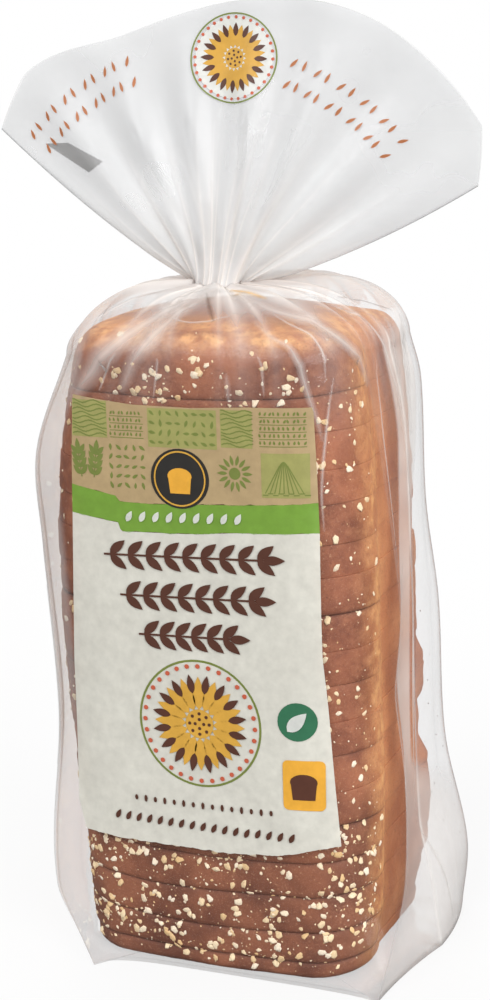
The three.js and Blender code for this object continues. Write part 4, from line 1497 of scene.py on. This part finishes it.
fan_shapes = {name: [] for name in INKS}
for ink, shapes in rosette(16.2).items():
    fan_shapes[ink].extend(placed(shapes, 3, 337, 8))
fan_shapes["white"].append(moved(oval(29, 29, 40), 3, 337))
for i in range(11):
    turn = math.radians(-49 + i * 2.9)
    for row in (0, 1):
        spot = (NECK_X / MM + (91 - 8 * row) * math.sin(turn), FAN_CENTRE_Z / MM + (91 - 8 * row) * math.cos(turn))
        fan_shapes["sienna"].append(moved(leaf(4.2, 1.2), *spot, math.degrees(-turn) + 62 + 24 * (i % 2)))
for i in range(11):
    turn = math.radians(20 + i * 3.1)
    for row in (0, 1):
        spot = (NECK_X / MM + (89 - 8 * row) * math.sin(turn), FAN_CENTRE_Z / MM + (89 - 8 * row) * math.cos(turn))
        fan_shapes["sienna"].append(moved(leaf(4.2, 1.2), *spot, math.degrees(-turn) + 62 + 24 * (i % 2)))
# A dark field is printed on the fan's back sheet and shows through the front one
PATCH_CORNERS = ((-73, 307.6), (-57, 296.4), (-51.1, 300.4), (-64.1, 307.7))
patch = inked("fan_print_slate", [PATCH_CORNERS], 0.3 * MM, ink_material("ink_slate", INKS["slate"]),
              lambda flat, lift: on_fan(flat, lift, False))
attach(patch, "root")
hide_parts("bag")
fan_layers = ("white", "gold", "brown", "rust", "olive", "sienna")
for layer, ink in enumerate(fan_layers):
    lift = (0.45 + 0.06 * layer) * MM
    work = inked(f"fan_print_{ink}", fan_shapes[ink], lift, bpy.data.materials[f"ink_{ink}"], on_fan)
    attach(work, "root")
    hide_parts("bag")

# The studio: a plain pale floor under an even white sky, with broad soft lamps in front, at the right and behind.
CAMERA_AZIMUTH = math.radians(23.4)
CAMERA_HEIGHT = 336 * MM
CAMERA_DISTANCE = 748 * MM
CAMERA_SIDE = 1.1 * MM
CAMERA_PITCH = math.radians(12.39)
CAMERA_ROLL = math.radians(1.85)
CAMERA_LENS = 72
FLOOR_HALF = 8
FLOOR_GAP = 0.2 * MM
SKY_LIGHT = 0.78
LAMP_BREADTH = math.radians(45)
KEY_SOURCE = Vector((-0.3, -1, 0.9)).normalized()
KEY_STRENGTH = 1.45
FILL_SOURCE = Vector((1, -0.6, 0.35)).normalized()
FILL_STRENGTH = 2.4
BACK_SOURCE = Vector((-0.5, 1, 0.5)).normalized()
BACK_STRENGTH = 1.0
FLOOR_SHADE = 0.12
FLOOR_GLOW = 0.1
LAMPS = (
    ("key_lamp", KEY_SOURCE, KEY_STRENGTH), ("fill_lamp", FILL_SOURCE, FILL_STRENGTH),
    ("back_lamp", BACK_SOURCE, BACK_STRENGTH),
)
# What the floor gives back of the light on it, plus this much, is as white to the camera as the sky
FLOOR_WHITE = 1 - FLOOR_SHADE * (SKY_LIGHT + sum(source.z * strength for _, source, strength in LAMPS) / math.pi)


def make_camera():
    """A camera that looks down a little on the front and the right side."""
    right = Vector((math.cos(CAMERA_AZIMUTH), math.sin(CAMERA_AZIMUTH), 0))
    level = Vector((-math.sin(CAMERA_AZIMUTH), math.cos(CAMERA_AZIMUTH), 0))
    up = Vector((0, 0, 1))
    forward = level * math.cos(CAMERA_PITCH) - up * math.sin(CAMERA_PITCH)
    top = level * math.sin(CAMERA_PITCH) + up * math.cos(CAMERA_PITCH)
    x_axis = right * math.cos(CAMERA_ROLL) - top * math.sin(CAMERA_ROLL)
    y_axis = right * math.sin(CAMERA_ROLL) + top * math.cos(CAMERA_ROLL)
    data = bpy.data.cameras.new("camera")
    data.lens = CAMERA_LENS
    data.sensor_width = 36
    data.clip_start = 0.01
    data.clip_end = 50
    camera = bpy.data.objects.new("camera", data)
    turn = Matrix((x_axis, y_axis, -forward)).transposed().to_4x4()
    camera.matrix_world = Matrix.Translation(-level * CAMERA_DISTANCE + right * CAMERA_SIDE + up * CAMERA_HEIGHT) @ turn
    bpy.context.scene.collection.objects.link(camera)
    bpy.context.scene.camera = camera


def soft_lamp(name, source, strength):
    """A broad, even lamp that is far away in the direction of its source."""
    data = bpy.data.lights.new(name, "SUN")
    data.angle = LAMP_BREADTH
    data.energy = strength
    lamp = bpy.data.objects.new(name, data)
    lamp.visible_glossy = source.y < 0
    lamp.rotation_euler = (-Vector(source)).to_track_quat("-Z", "Y").to_euler()
    bpy.context.scene.collection.objects.link(lamp)


def floor_material():
    """White card that glows: as white as the sky to the camera, and with a faint painted glow of its own that lights
    the loaf from below.
    """
    material, tree = new_material("studio_floor")
    seen = add_node(tree, "ShaderNodeLightPath").outputs["Is Camera Ray"]
    shader = add_node(tree, "ShaderNodeBsdfPrincipled", {
        "Base Color": (FLOOR_SHADE, FLOOR_SHADE, FLOOR_SHADE, 1), "Roughness": 0.9, "Specular IOR Level": 0.0,
        "Emission Color": (1, 1, 1, 1), "Emission Strength": ranged(tree, seen, 0, 1, FLOOR_GLOW, FLOOR_WHITE),
    })
    add_node(tree, "ShaderNodeOutputMaterial", {"Surface": shader.outputs[0]})
    return material


def make_sky():
    """An even white sky."""
    world = bpy.data.worlds.new("studio")
    world.use_nodes = True
    tree = world.node_tree
    seen = add_node(tree, "ShaderNodeLightPath").outputs["Is Camera Ray"]
    tree.nodes["Background"].inputs["Color"].default_value = (1, 1, 1, 1)
    tree.links.new(ranged(tree, seen, 0, 1, SKY_LIGHT, 1), tree.nodes["Background"].inputs["Strength"])
    bpy.context.scene.world = world


floor_corners = [(x * FLOOR_HALF, y * FLOOR_HALF, -FLOOR_GAP) for x, y in ((-1, -1), (1, -1), (1, 1), (-1, 1))]
floor = mesh_piece("floor", floor_corners, [(0, 1, 2, 3)], [floor_material()])
make_sky()
make_camera()
for lamp_name, source, strength in LAMPS:
    soft_lamp(lamp_name, source, strength)
bpy.context.scene.view_settings.view_transform = "Standard"
